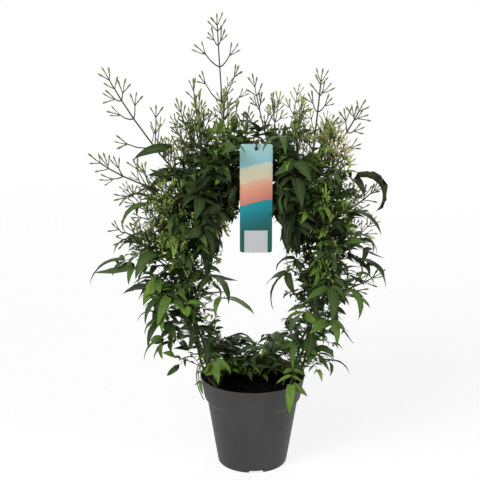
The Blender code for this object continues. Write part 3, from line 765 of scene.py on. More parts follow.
def crumb_tree(finish):
    """Geometry nodes: a surface with crumbs of earth strewn over its upward faces."""
    g = Tree("crumbs", Per_area="Float", Smallest="Float", Largest="Float", Seed="Int")
    ground, seed = g.given["Geometry"], g.given["Seed"]
    lift = g.part(g.node("GeometryNodeInputNormal"), "Z")
    upward = g.node("FunctionNodeCompare", {"operation": "GREATER_THAN"}, {0: lift, 1: 0.7})
    sockets = {"Mesh": ground, "Selection": upward, "Density": g.given["Per area"], "Seed": seed}
    points = g.node("GeometryNodeDistributePointsOnFaces", None, sockets)
    ball = g.node("GeometryNodeMeshIcoSphere", None, {"Radius": 1.0, "Subdivisions": 1})
    flatness = g.random((0.5, 0.5, 0.35), (1.0, 0.8, 0.7), 4)
    size = g.random(g.given["Smallest"], g.given["Largest"], seed)
    turn = g.random((0.0, 0.0, 0.0), (6.28, 6.28, 6.28), 9)
    sockets = {"Points": points, "Instance": ball, "Rotation": turn, "Scale": g.scaled(flatness, size)}
    crumbs = g.node("GeometryNodeInstanceOnPoints", None, sockets)
    return g.end(finish, ground, crumbs)


def add_tree(obj, tree, **values):
    """Put a geometry node tree on an object, set its inputs by their identifiers, and apply it."""
    modifier = obj.modifiers.new(tree.name, "NODES")
    modifier.node_group = tree
    wanted = {name.replace("_", " "): value for name, value in values.items()}
    for item in tree.interface.items_tree:
        if item.in_out == "INPUT" and item.name in wanted:
            modifier[item.identifier] = wanted[item.name]
    make_plain(obj)


def make_peat(finish):
    """The peat: a lumpy crown down to the pot's floor, with crumbs on its top."""
    floor = CHANNEL_HEIGHT + 2 * WALL
    gap = WALL + PEAT_SLACK
    edge = outer_radius(PEAT_TOP) - gap
    rings = 26
    run = [(0, PEAT_TOP + PEAT_CROWN)]
    run += [
        (edge * i / rings, PEAT_TOP + PEAT_CROWN * cos(i / rings * pi / 2)) for i in range(1, rings)
    ]
    run += [
        (edge, PEAT_TOP - 0.002),
        (COLLAR_FOOT[0] - gap, COLLAR_FOOT[1]),
        (SHOULDER[0] - gap, SHOULDER[1]),
        (outer_radius(floor) - gap - 0.001, floor),
        (0, floor),
    ]
    bm = lathe(run, 96)
    draw = random.Random(5)
    for vert in bm.verts:
        if vert.co.z > PEAT_TOP - 0.0005 and vert.co.xy.length < edge * 0.97:
            vert.co.z += draw.uniform(-0.0010, 0.0009)
    bed = add_form("peat_bed", bm, finish)
    shade(bed, 60)
    least, most = CRUMB_SIZES
    crumbs = crumb_tree(finish)
    add_tree(bed, crumbs, Per_area=CRUMBS_PER_AREA, Smallest=least, Largest=most, Seed=7)
    place_piece(bed, "peat", "peat")


# --------------------------------------------------------------- hoop and climbers


def hoop_width(height):
    """Half the width of the hoop at a height: a flared leg below, an ellipse above."""
    if height < HOOP_WAIST_HEIGHT:
        part = max(0.0, (height - PEAT_TOP) / (HOOP_WAIST_HEIGHT - PEAT_TOP))
        return HOOP_FOOT + (HOOP_WAIST - HOOP_FOOT) * sin(part * pi / 2)
    part = min(1.0, (height - HOOP_WAIST_HEIGHT) / (HOOP_TOP - HOOP_WAIST_HEIGHT))
    return HOOP_WAIST * sqrt(1 - part * part)


def half_hoop():
    """Points of half the hoop, from the peat to the top."""
    points = []
    for i in range(HALF_STEPS):
        height = PEAT_TOP + i / HALF_STEPS * (HOOP_WAIST_HEIGHT - PEAT_TOP)
        points.append(Vector((hoop_width(height), 0, height)))
    for i in range(HALF_STEPS + 1):
        angle = i / HALF_STEPS * pi / 2
        rise = (HOOP_TOP - HOOP_WAIST_HEIGHT) * sin(angle)
        points.append(Vector((HOOP_WAIST * cos(angle), 0, HOOP_WAIST_HEIGHT + rise)))
    return points


HALF = half_hoop()
HALF_LENGTH = sum((b - a).length for a, b in zip(HALF, HALF[1:]))
SIGNS = {"left": -1, "right": 1}


def hoop_at(side, place):
    """Point and direction on one half of the hoop; place is 0 at the peat and 1 at the top."""
    left = place * HALF_LENGTH
    point, direction = HALF[0], (HALF[1] - HALF[0]).normalized()
    for a, b in zip(HALF, HALF[1:]):
        length = (b - a).length
        point, direction = a, (b - a) / length
        if left <= length:
            break
        left -= length
    point = point + direction * left
    sign = SIGNS[side]
    return Vector((sign * point.x, 0, point.z)), Vector((sign * direction.x, 0, direction.z))


def climber_at(side, stem, place):
    """Point, outward direction and radius of a climbing stem at a place up the half hoop."""
    phase, reach, turns_made = stem
    centre, direction = hoop_at(side, place)
    away = SIGNS[side] * Vector((direction.z, 0, -direction.x))
    angle = radians(phase) + 2 * pi * turns_made * place
    outward = away * cos(angle) + BACK * sin(angle)
    loose = max(0.0, 1 - place / SPREAD_SHARE)
    offset = WIND_RADIUS + (FOOT_SPREAD - WIND_RADIUS) * min(1.0, loose) ** 2
    radius = STEM_RADIUS + (STEM_TIP_RADIUS - STEM_RADIUS) * max(0.0, place) / reach
    return centre + outward * offset, outward, radius


def compass(heading, rise):
    """A direction from a heading round Z and a rise from level, both in degrees."""
    level = cos(radians(rise))
    return Vector((level * cos(radians(heading)), level * sin(radians(heading)), sin(radians(rise))))


def foothold(side, place, heading):
    """Where a shoot leaves: the climbing stem that faces its heading best near that place."""
    wanted = compass(heading, 0)
    best = None
    for stem in STEMS[side]:
        for i in range(-FOOTHOLD_STEPS, FOOTHOLD_STEPS + 1):
            near = place + i * FOOTHOLD_STEP
            if not LEAST_PLACE < near < stem[1] - TIP_MARGIN:
                continue
            point, outward, radius = climber_at(side, stem, near)
            score = outward.dot(wanted) - abs(i) * 0.01
            if best is None or score > best[0]:
                best = (score, point + outward * radius * ROOT_INSET, outward)
    return best[1:]


def across(direction, up):
    """Side and up directions that are square to a direction and to each other."""
    side = up.cross(direction).normalized()
    return side, direction.cross(side).normalized()


# -------------------------------------------------------------- leaf and bud forms


def closed_form(name, bm, rings, places, below=()):
    """A form of rings that is closed and smooth, with its UV map and its underside marked."""
    bridge(bm, rings)
    uv = bm.loops.layers.uv.new("UVMap")
    under = bm.faces.layers.float.new("under")
    for face in bm.faces:
        face[under] = float(any(vert in below for vert in face.verts))
        for loop in face.loops:
            loop[uv].uv = places[loop.vert]
    mesh = mesh_of(name, bm)
    mesh.shade_smooth()
    return bpy.data.objects.new(name, mesh)


# A leaflet's outline: how fast it widens and narrows, and where it is widest
BLADE_RISE = 0.62
BLADE_FALL = 1.2
BLADE_WIDEST = 0.34
BLADE_HALF = 0.006  # half its thickness, which lessens toward the tip
ROUND_BLADE = (-1, -0.5, 0, 0.5, 1, 0.5, 0, -0.5)  # across the top, then back below


def blade_width(s):
    """The width of the outline at a part of its length."""
    return s ** BLADE_RISE * (1 - s) ** BLADE_FALL


def leaflet_form(name, width, arch, fold, wave, twist, lean, steps=7):
    """One leaflet, a unit from foot to tip: pointed, folded on its midrib, closed all round."""
    bm = bmesh.new()
    centre = Vector((0, 0, 0))
    pitch = arch * 0.35
    rings = []
    places = {}
    below = []
    for i in range(1, steps):
        s = i / steps
        heading = Vector((cos(pitch), lean * s, sin(pitch))).normalized()
        centre = centre + heading / steps
        pitch -= arch * 1.35 / steps
        half = width * blade_width(s) / blade_width(BLADE_WIDEST)
        sideways = Vector((0, cos(twist * s), sin(twist * s)))
        rise = heading.cross(sideways).normalized()
        rings.append([])
        for k, v in enumerate(ROUND_BLADE):
            lift = fold * abs(v) ** 1.3 * half + wave * abs(v) ** 2 * sin(s * 17 + v) * 0.5
            thick = (BLADE_HALF if k in (1, 2, 3) else -BLADE_HALF if k > 4 else 0) * (1.3 - s)
            vert = bm.verts.new(centre + sideways * v * half + rise * (lift + thick))
            rings[-1].append(vert)
            places[vert] = (s, 0.5 + v / 2)
        below += rings[-1][5:]
    foot = bm.verts.new((0, 0, 0))
    tip = bm.verts.new(centre + Vector((cos(pitch), lean, sin(pitch))).normalized() / steps)
    bmesh.ops.scale(bm, verts=bm.verts, vec=Vector((1, 1, 1)) / tip.co.length)
    places.update({foot: (0, 0.5), tip: (1, 0.5)})
    return closed_form(name, bm, [[foot], *rings, [tip]], places, below)


# A bud's outline: distance from its foot and radius, on a bud one unit long
BUD_OUTLINE = [
    (0.03, 0.042), (0.13, 0.060), (0.18, 0.044), (0.42, 0.048), (0.66, 0.080), (0.82, 0.078),
    (0.94, 0.034),
]
BUD_SIDES = 6


def bud_form(name, bend, fat):
    """One bud, a unit long along X: calyx, slim tube, fuller head and a point."""
    bm = bmesh.new()
    rings = []
    for s, radius in BUD_OUTLINE:
        spots = [(s, radius * fat * cos(a), bend * s * s + radius * fat * sin(a)) for a in turns(BUD_SIDES)]
        rings.append([bm.verts.new(spot) for spot in spots])
    rings = [[bm.verts.new((0, 0, 0))], *rings, [bm.verts.new((1, 0, bend))]]
    places = {vert: (vert.co.x, 0.5) for vert in bm.verts}
    return closed_form(name, bm, rings, places)


def collection_of(name, forms):
    """A collection of forms outside the scene, for the geometry nodes to pick from."""
    made = bpy.data.collections.new(name)
    for form in forms:
        made.objects.link(form)
    return made


# Each row: name, half width, arch, fold, wave, twist, lean, and steps along it if not 7
LEAFLETS = [
    leaflet_form("leaflet_0_flat", 0.165, 0.45, 0.20, 0.012, 0.10, 0.00),
    leaflet_form("leaflet_1_arched", 0.160, 1.00, 0.30, 0.015, -0.15, 0.06),
    leaflet_form("leaflet_2_hanging", 0.150, 1.45, 0.42, 0.010, 0.25, -0.05),
    leaflet_form("leaflet_3_turned", 0.170, 0.75, 0.12, 0.024, 0.55, 0.10),
    leaflet_form("leaflet_4_broad", 0.205, 0.60, 0.22, 0.018, -0.30, -0.08),
    leaflet_form("leaflet_5_narrow", 0.115, 0.90, 0.38, 0.008, -0.10, 0.08),
    leaflet_form("leaflet_6_long", 0.120, 1.20, 0.30, 0.012, 0.35, 0.05),
    leaflet_form("leaflet_7_curled", 0.140, 2.20, 0.80, 0.060, 0.20, 0.05, 9),
    leaflet_form("leaflet_8_raised", 0.140, -0.25, 0.35, 0.012, -0.20, -0.06),
    leaflet_form("leaflet_9_small", 0.260, 0.50, 0.25, 0.014, 0.10, 0.04, 5),
    leaflet_form("leaflet_a_small_folded", 0.200, 0.90, 0.50, 0.010, -0.25, -0.05, 5),
]

# Forms to choose from, by their place in the list, for end, large and small leaflets
END_CHOICE = (1, 2, 4, 6, 6, 8)
LARGE_CHOICE = (0, 1, 2, 3, 4, 5, 5, 8)
SMALL_CHOICE = (9, 9, 10, 10, 0, 5, 8)
SMALL_FROM = 0.018  # leaflets shorter than this take a small form

# Each row: name, bend, thickness
BUDS = [
    bud_form("bud_0_straight", 0.00, 1.02),
    bud_form("bud_1_bent", 0.10, 0.98),
    bud_form("bud_2_small", -0.06, 1.20),
]


def spray_tree():
    """Geometry nodes: stalks along a mesh's edges, and a form set on each of its foot points.

    Foot points carry form, turn and size; stalk points carry thickness.
    """
    g = Tree(
        "spray", Forms="Collection", Stalk_sides="Int", Size_change="Float", Seed="Int", Finish="Material"
    )
    given, change = g.given, g.given["Size change"]
    sockets = {"Geometry": given["Geometry"], "Selection": g.named("is_foot", "BOOLEAN")}
    feet = g.node("GeometryNodeSeparateGeometry", {"domain": "POINT"}, sockets)
    wires = feet.beside("Inverted")
    sockets = {"Collection": given["Forms"], "Separate Children": True, "Reset Children": True}
    forms = g.node("GeometryNodeCollectionInfo", None, sockets)
    size = g.scaled(g.named("size", "FLOAT_VECTOR"), g.random(1 - change, 1 + change, given["Seed"]))
    sockets = {
        "Points": feet, "Instance": forms, "Pick Instance": True, "Instance Index": g.named("form", "INT"),
        "Rotation": g.named("turn", "QUATERNION"), "Scale": size,
    }
    set_forms = g.node("GeometryNodeInstanceOnPoints", None, sockets)
    blades = g.node("GeometryNodeRealizeInstances", None, {"Geometry": set_forms})
    curves = g.node("GeometryNodeMeshToCurve", None, {"Mesh": wires})
    thickness = g.named("thickness", "FLOAT")
    thick = g.node("GeometryNodeSetCurveRadius", None, {"Curve": curves, "Radius": thickness})
    sockets = {"Resolution": given["Stalk sides"], "Radius": 1.0}
    ring = g.node("GeometryNodeCurvePrimitiveCircle", None, sockets)
    sockets = {"Curve": thick, "Profile Curve": ring, "Scale": thickness, "Fill Caps": True}
    tubes = g.node("GeometryNodeCurveToMesh", None, sockets)
    smooth = g.node("GeometryNodeSetShadeSmooth", None, {"Geometry": tubes})
    return g.end(given["Finish"], blades, smooth)


class Spray:
    """Gathers stalks and the feet of leaflets or buds, then makes one piece of them."""

    def __init__(self, seed):
        self.draw = random.Random(seed)
        self.points = []
        self.edges = []
        self.thickness = []
        self.tones = []
        self.feet = {}

    def add_point(self, point, thickness, tone):
        self.points.append(tuple(point))
        self.thickness.append(thickness)
        self.tones.append(tone)

    def stalk(self, points, start, end):
        """A tapering stalk along points."""
        first = len(self.points)
        for i, point in enumerate(points):
            self.add_point(point, start + (end - start) * i / (len(points) - 1), 0.5)
            if i:
                self.edges.append((first + i - 1, first + i))

    def foot(self, point, direction, up, size, form, tone):
        """A leaflet or bud that starts at point and runs along direction."""
        turn = Matrix((direction, *across(direction, up))).transposed()
        self.feet[len(self.points)] = (form, turn.to_quaternion(), size)
        self.add_point(point, 0.0, tone)

    def piece(self, name, forms, finish, slot, nodes, sides, change=0.08, seed=1):
        """The finished piece, which stands for the nodes."""
        mesh = bpy.data.meshes.new(name)
        mesh.from_pydata(self.points, self.edges, [])
        no_foot = (0, (1, 0, 0, 0), (0, 0, 0))
        rows = [self.feet.get(i, no_foot) for i in range(len(self.points))]
        is_foot = [i in self.feet for i in range(len(self.points))]
        for key, kind, field, values in (
            ("is_foot", "BOOLEAN", "value", is_foot),
            ("form", "INT", "value", [form for form, _, _ in rows]),
            ("thickness", "FLOAT", "value", self.thickness),
            ("tone", "FLOAT", "value", self.tones),
            ("stalk", "FLOAT", "value", [0.0 if foot else 1.0 for foot in is_foot]),
            ("turn", "QUATERNION", "value", [x for _, turn, _ in rows for x in turn]),
            ("size", "FLOAT_VECTOR", "vector", [x for _, _, size in rows for x in size]),
        ):
            mesh.attributes.new(key, kind, "POINT").data.foreach_set(field, values)
        obj = add_object(name, mesh, finish)
        add_tree(
            obj, SPRAY, Forms=forms, Stalk_sides=sides, Size_change=change, Seed=seed, Finish=finish
        )
        attributes = obj.data.attributes
        for key in ("is_foot", "form", "thickness", "turn", "size"):
            if key in attributes:
                attributes.remove(attributes[key])
        place_piece(obj, slot, *nodes)


SPRAY = spray_tree()


# --------------------------------------------------------------------- growing


def stem_nodes(root, outward, heading, rises, steps):
    """Nodes along a shoot's stem: a point, a direction and an up for each rise and step."""
    point = root + outward * 2 * AXIS_HALF
    up = UP
    nodes = []
    for rise, step in zip(rises, steps):
        direction = compass(heading, rise)
        up = (up - direction * up.dot(direction)).normalized()
        point = point + direction * step
        nodes.append((point, direction, up))
    return nodes


def leaf_plan(root, outward, heading, rise, droop, length, leaflet, pairs):
    """Nodes of a compound leaf, and the foot, way, up and size of each leaflet."""
    rises = [rise - droop * i / pairs for i in range(pairs)]
    steps = [(length - leaflet * END_LEAFLET) / pairs] * pairs
    nodes = stem_nodes(root, outward, heading, rises, steps)
    feet = []
    for i, (point, direction, up) in enumerate(nodes):
        side = across(direction, up)[0]
        size = leaflet * (1 - PAIR_SHORTENING * (pairs - 1 - i))
        for sign in (1, -1):
            way = side * sign * sin(LEAFLET_SPLAY) + direction * cos(LEAFLET_SPLAY)
            way = (way - UP * LEAFLET_DIP).normalized()
            feet.append((point, way, up, size))
    point, direction, up = nodes[-1]
    feet.append((point, direction, up, leaflet * END_LEAFLET))
    return nodes, feet


def panicle_plan(root, outward, heading, lean, length, pairs):
    """Nodes of a panicle, and the foot, way, up and length of each branch."""
    count = pairs + BARE_STEPS
    leans = [LEAN_AT_FOOT + (LEAN_AT_TIP - LEAN_AT_FOOT) * i / count for i in range(count)]
    rises = [90 - lean * part for part in leans]
    left = [length * LENGTH_LEFT ** k for k in range(pairs + 1)]
    steps = [(left[0] - left[1]) / (BARE_STEPS + 1)] * (BARE_STEPS + 1)
    steps += [low - high for low, high in zip(left[1:], left[2:])]
    nodes = stem_nodes(root, outward, heading, rises, steps)
    branches = []
    for i, (point, direction, up) in enumerate(nodes[BARE_STEPS:]):
        side, upward = across(direction, up)
        turn = BRANCH_TURN * (1 if i % 2 else -1)
        cross = upward * cos(turn) + side * sin(turn)
        size = BRANCH_LEAST + BRANCH_SHARE * left[i + 1]
        for sign in (1, -1):
            way = cross * sign * sin(BRANCH_SPLAY) + direction * cos(BRANCH_SPLAY)
            branches.append((point, way, direction, size))
    point, direction, up = nodes[-1]
    branches.append((point, direction, up, left[-1]))
    return nodes, branches


def leaflet_tips(feet):
    """Where the leaflets of a leaf end."""
    return [foot + way * size for foot, way, _, size in feet]


def fork_ways(direction, up):
    """The two ways in which the outer buds of a fork part from the middle one."""
    upward = across(direction, up)[1]
    return [direction * cos(FORK_SPLAY) + upward * sign * sin(FORK_SPLAY) for sign in (1, -1)]


def branch_tips(branches):
    """Where the buds of a panicle's branches end."""
    tips = []
    for foot, way, up, length in branches:
        tips.append(foot + way * length)
        if length >= FORK_FROM:
            fork = foot + way * (length - FORK_BUD)
            tips += [fork + outer * FORK_BUD for outer in fork_ways(way, up)]
    return tips


def settled(node, plan, tips_of, side, place, heading, *growth):
    """Foot, outward way and heading that a solid took: the turn aside that fits its box best."""
    low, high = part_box(node)
    best = None
    for step in range(TURN_TRIES):
        turned = heading + (step + 1) // 2 * TURN_STEP * (1 if step % 2 else -1)
        root, outward = foothold(side, place, turned)
        reach = [root] + tips_of(plan(root, outward, turned, *growth)[1])
        miss = sum(
            abs(min(p[i] for p in reach) - low[i]) + abs(max(p[i] for p in reach) - high[i])
            for i in range(3)
        )
        if best is None or miss < best[0]:
            best = (miss, root, outward, turned)
    return best[1:]


def rows_of(table, node_start, plan, tips_of, side, low=0.0, high=1.0):
    """Each row of a side between two places: its name and node, where it stands, its growth."""
    for name, (row_side, place, heading, *growth) in table.items():
        if row_side == side and low <= place < high:
            node = f"{node_start}_{name}"
            yield name, node, settled(node, plan, tips_of, side, place, heading, *growth), growth


def by_the_tag(point, free):
    """True if a point is closer to the tag than leaves may come."""
    beside, above, behind, before = TAG_ROOM
    if not TAG_LOW.x - beside < point.x < TAG_HIGH.x + beside:
        return False
    if not TAG_LOW.z < point.z < TAG_HIGH.z + above:
        return False
    return point.y < TAG_HIGH.y + behind and not (free and point.y < TAG_LOW.y - before)


def by_the_pot(point):
    """True if a point is in or against the pot's wall, or in the peat."""
    over_rim, outside, inside, over_peat = POT_ROOM
    off_wall = point.xy.length - outer_radius(max(point.z, 0.0))
    within = off_wall > -inside or point.z < PEAT_TOP + over_peat
    return point.z < POT_HEIGHT + over_rim and off_wall < outside and within


def blocked(points, free):
    """True if a leaf along these points meets the tag, the pot, the peat or the opening.

    A free leaf is one with a place of its own. It may hang before the tag and in the opening.
    """
    (x0, z0), (x1, z1) = CLEAR_OPENING
    low, high = SOLID_BOX
    for p in points:
        outside = any(not low[i] - OVERREACH < p[i] < high[i] + OVERREACH for i in range(3))
        within = not free and x0 < p.x < x1 and z0 < p.z < z1
        if outside or within or by_the_tag(p, free) or by_the_pot(p):
            return True
    return False


def painted_light_share(point):
    """Painted light on a leaf: 0 close to the hoop, where the leaves are painted dark as shade, and 1 at
    the crown's outside, top and front, painted as lit.
    """
    beside = abs(abs(point.x) - hoop_width(point.z))
    above = max(0.0, point.z - HOOP_TOP)
    return min(1.0, (beside + above + max(0.0, -point.y)) / CROWN_DEPTH)


def wobble(draw, amount):
    """A small random vector."""
    return Vector([draw.uniform(-amount, amount) for _ in range(3)])


def add_leaflet(spray, root, direction, up, length, tone, free, end, end_form):
    """Set one leaflet, of a form and a small turn drawn from the spray's own seed."""
    draw = spray.draw
    loose = LOOSENESS[0 if free and end else 1 if free or end else 2]
    way = (direction + wobble(draw, loose)).normalized()
    tilt = (up + wobble(draw, TILT)).normalized()
    size = length * draw.uniform(*(END_SIZES if end else LEAF_SIZES))
    form = draw.choice(END_CHOICE if end else LARGE_CHOICE if size > SMALL_FROM else SMALL_CHOICE)
    if end and end_form is not None:
        form = end_form
    width = size * draw.uniform(*LEAF_WIDTHS)
    reach = [root + way * size * s - UP * size * LEAF_SAG * s * s for s in (0.3, 0.65, 1)]
    if blocked(reach, free):
        return
    # The leaf's tone of age, with painted shade next to the hoop and painted light toward the outside, top
    # and front, and a random change.
    age_and_shade = tone * (PAINTED_SHADE_AT_HOOP + PAINTED_LIGHT_OUTWARD * painted_light_share(root)) + draw.uniform(*AGE_CHANGE)
    spray.foot(root, way, tilt, (size, width, size), form, min(1.0, max(0.0, age_and_shade)))


def stem_line(root, outward, nodes):
    """The points of a shoot's stem, which leaves its foothold square to the surface."""
    return [root, root + outward * 2 * AXIS_HALF] + [point for point, _, _ in nodes]


def grow_leaf(spray, root, outward, *growth, tone, free=False, end_form=None, **named):
    """A compound leaf: a drooping stalk, pairs of leaflets and a longer one at its end."""
    nodes, feet = leaf_plan(root, outward, *growth, **named)
    line = stem_line(root, outward, nodes)
    if blocked(line[2:], free):
        return
    spray.stalk(line, AXIS_HALF, AXIS_HALF * 0.55)
    for i, (foot, way, up, size) in enumerate(feet):
        add_leaflet(spray, foot, way, up, size, tone, free, i == len(feet) - 1, end_form)


def add_bud(spray, root, direction, length, bud, tone):
    """A bud that ends at length along direction, on a thin stalk where it is shorter."""
    draw = spray.draw
    bend = wobble(draw, 0.12)
    size = bud * draw.uniform(0.85, 1.12)
    stalk = max(0.0008, length - size)
    neck = root + direction * stalk
    thick = BUD_STALK * (bud / BUD_SIZE)
    spray.stalk([root, root + direction * stalk * 0.6 + bend * 0.002, neck], thick, thick * 0.85)
    way = (direction + bend + UP * BUD_RISE).normalized()
    up = UP if abs(way.z) < 0.9 else BACK
    spray.foot(neck, way, up, (size, size, size), draw.choice((0, 1, 2)), tone)


def add_branch(spray, root, direction, up, length, bud, tone):
    """A branch that sags a little and rises again, with a bud or a fork of three at its end."""
    draw = spray.draw
    if length < FORK_FROM * bud / FORK_BUD:
        add_bud(spray, root, direction, length, bud, tone)
        return
    side = across(direction, up)[0]
    fork = root + direction * (length - bud * 1.3)
    sag = (side * draw.uniform(-0.04, 0.04) - UP * draw.uniform(0.03, 0.08)) * length
    line = [root + (fork - root) * t + sag * sin(t * pi) for t in (0, 0.3, 0.65, 1)]
    thick = BRANCH_STALK * (bud / BUD_SIZE)
    spray.stalk(line, thick, thick * 0.75)
    add_bud(spray, fork, direction, bud * draw.uniform(1.2, 1.5), bud, tone)
    for way in fork_ways(direction, up):
        add_bud(spray, fork, way, bud * draw.uniform(1.1, 1.45), bud, tone)
    if length > LONG_BRANCH and draw.random() < SECOND_FORK:
        middle = root + (fork - root) * SECOND_AT + sag * sin(SECOND_AT * pi)
        for way in fork_ways(direction, up):
            add_bud(spray, middle, way, bud * draw.uniform(1.0, 1.4), bud * 0.85, tone)


def grow_panicle(spray, root, outward, heading, lean, length, pairs, tone, bud=BUD_SIZE, sides=0):
    """A spray of buds: an axis and pairs of branches, shorter toward its forked tip.

    Some more small branches may rise from the lower part of the axis.
    """
    draw = spray.draw
    nodes, branches = panicle_plan(root, outward, heading, lean, length, pairs)
    thick = AXIS_STALK * (bud / BUD_SIZE) ** 2
    spray.stalk(stem_line(root, outward, nodes), thick, thick * 0.65)
    for foot, way, up, reach in branches:
        add_branch(spray, foot, way, up, reach * draw.uniform(0.88, 1.08), bud, tone)
    first, direction, up = nodes[BARE_STEPS]
    side, upward = across(direction, up)
    for i in range(sides):
        foot = root.lerp(first, 0.35 + 0.75 * (i + draw.random()) / sides)
        way = direction * 0.75 + upward * draw.uniform(0.4, 1.0)
        way = (way + side * draw.uniform(-0.6, 0.6)).normalized()
        add_branch(spray, foot, way, up, draw.uniform(*SIDE_SPRAYS), SMALL_BUD, tone + 0.2)


# Leaves along the climbing stems. Each stretch: from and to which place up the hoop, places
# between leaf nodes, leaves at a node, shortest and longest leaf, and share of that length inside.
STRETCHES = [
    ((0.05, 0.30), 0.060, 2, (0.034, 0.066), 0.75),
    ((0.30, 0.52), 0.034, 3, (0.040, 0.088), 0.70),
    ((0.52, 0.70), 0.026, 3, (0.045, 0.096), 0.80),
    ((0.70, 1.00), 0.020, 3, (0.040, 0.086), 0.90),
]
BARE_END = 0.012  # places without leaves at a stem's tip
NODE_WAYS = (58, -58, 170)  # headings of the leaves at a node, from the way that it faces
WAY_CHANGE = 38
HANGING_FROM = 0.64  # from this place up, leaves also hang inside the arch, in these ranges
HANGING = {
    "way": (-80, 80), "length": (0.062, 0.100), "rise": (-30, 10), "droop": (60, 110),
    "tone": (0.0, 0.25),
}
OLD_TONES = (0.0, 0.10, 0.22, 0.38, 0.56, 0.82)
YOUNG_TONES = (0.10, 0.25, 0.45, 0.65, 0.85, 1.0)
SPRIGS = 3  # young shoots at a node at most, the chance of each, and the ranges they grow in
SPRIG_CHANCE = 0.45
SPRIG = {
    "way": (-75, 75), "leaflet": (0.008, 0.015), "rise": (15, 80), "droop": (-15, 40),
    "length": (0.035, 0.065), "tone": (0.5, 1.0),
}


def drawn(draw, ranges):
    """A value from each named range, drawn in their order."""
    return {name: draw.uniform(*span) for name, span in ranges.items()}


def grow_node(spray, draw, side, place, root, outward, count, lengths, inner):
    """The leaves, sprigs and hanging leaf at one node of a climbing stem."""
    heading = degrees(atan2(outward.y, outward.x))
    for k in range(count):
        way = heading + NODE_WAYS[k] + draw.uniform(-WAY_CHANGE, WAY_CHANGE)
        length = draw.uniform(*lengths)
        if compass(way, 0).x * SIGNS[side] < -0.3:
            length *= inner
        pairs = draw.choice((2, 3, 3, 4))
        leaflet = length / (2.4 + 0.35 * pairs)
        rise, droop = draw.uniform(-20, 70), draw.uniform(0, 80)
        tone = draw.choice(OLD_TONES if leaflet > SMALL_FROM else YOUNG_TONES)
        grow_leaf(spray, root, outward, way, rise, droop, length, leaflet, pairs, tone=tone)
    for _ in range(SPRIGS):
        if draw.random() > SPRIG_CHANCE:
            continue
        values = drawn(draw, SPRIG)
        grow_leaf(spray, root, outward, heading + values.pop("way"), pairs=4, **values)
    if place > HANGING_FROM:
        values = drawn(draw, HANGING)
        way = (0 if side == "left" else 180) + values.pop("way")
        grow_leaf(spray, root, outward, way, leaflet=values["length"] / 2.6, pairs=3, **values)


def fill_leaves(spray, side, low, high, seed):
    """Leaves along the climbing stems of a side, between two places up the hoop."""
    draw = random.Random(seed)
    for number, stem in enumerate(STEMS[side]):
        for (first, last), step, *growth in STRETCHES:
            place = max(first, low) + number * step / 3
            while place < min(last, high, stem[1] - BARE_END):
                point, outward, radius = climber_at(side, stem, place)
                root = point + outward * radius * ROOT_INSET
                grow_node(spray, draw, side, place, root, outward, *growth)
                place += step * draw.uniform(0.8, 1.2)


# Bands of foliage up the hoop. Each is a piece on either side, with a seed of its own.
BANDS = {"low": (0.0, 0.34), "middle": (0.34, 0.62), "shoulder": (0.62, 0.80), "top": (0.80, 1.0)}
SEEDS = {"left": (11, 12, 17, 13), "right": (14, 15, 18, 16)}

# Carried shoots with a tone, a fineness or an end leaflet of their own
TONES = {"left_01": 0.85, "right_01": 0.60, "right_04": 0.75, "right_10": 0.0}
FINER = {"right_01": (0.027, 5)}  # leaflet and pairs of a leaf that is finer than its solid
END_FORMS = {
    "left_07": 6, "left_10": 6, "left_14": 0, "left_05": 2, "left_01": 2, "top_02": 4,
    "right_01": 2, "right_04": 6, "right_07": 6, "right_09": 1, "right_10": 7,
}

# Leaves over the back of the pot's mouth: how many on each side, and the ranges they grow in
MOUTH_LEAVES = 20
MOUTH_HEADINGS = {"left": (-6, 75), "right": (105, 200)}
MOUTH_LEAF = {
    "place": (0.03, 0.11), "rise": (2, 30), "droop": (15, 60), "length": (0.058, 0.104),
    "leaflet": (0.022, 0.032), "tone": (0.20, 0.75),
}

# Leaves of the foreground: round the tag's upper end, young ones beside the spire, then broad
# ones down both sides. Each row: side, place, heading, rise, droop, length, leaflet, pairs, tone.
FRONT_LEAVES = [
    ("left", 0.96, 258, 76, 118, 0.108, 0.026, 3, 0.30),
    ("right", 0.96, 272, 78, 130, 0.114, 0.029, 3, 0.30),
    ("left", 0.985, 350, 40, 40, 0.078, 0.030, 2, 0.30),
    ("right", 0.985, 195, 48, 40, 0.066, 0.026, 2, 0.30),
    ("left", 0.985, 352, 64, 20, 0.070, 0.024, 3, 0.20),
    ("right", 0.985, 185, 72, 24, 0.068, 0.024, 3, 0.20),
    ("left", 0.93, 262, 80, 16, 0.078, 0.020, 4, 1.00),
    ("left", 0.95, 285, 76, 24, 0.072, 0.019, 4, 1.00),
    ("left", 0.91, 250, 76, 24, 0.082, 0.020, 4, 0.95),
    ("left", 0.50, 200, 8, 20, 0.112, 0.044, 2, 0.38),
    ("left", 0.57, 235, 4, 30, 0.090, 0.036, 3, 0.30),
    ("left", 0.43, 250, 0, 50, 0.088, 0.038, 2, 0.45),
    ("left", 0.37, 248, 8, 60, 0.084, 0.034, 3, 0.62),
    ("left", 0.27, 200, 12, 60, 0.078, 0.032, 3, 0.55),
    ("right", 0.42, 275, 0, 45, 0.086, 0.036, 3, 0.44),
    ("right", 0.34, 284, 8, 40, 0.092, 0.034, 3, 0.48),
    ("right", 0.30, 240, 5, 34, 0.086, 0.034, 3, 0.45),
    ("right", 0.22, 292, 10, 45, 0.070, 0.030, 3, 0.50),
]

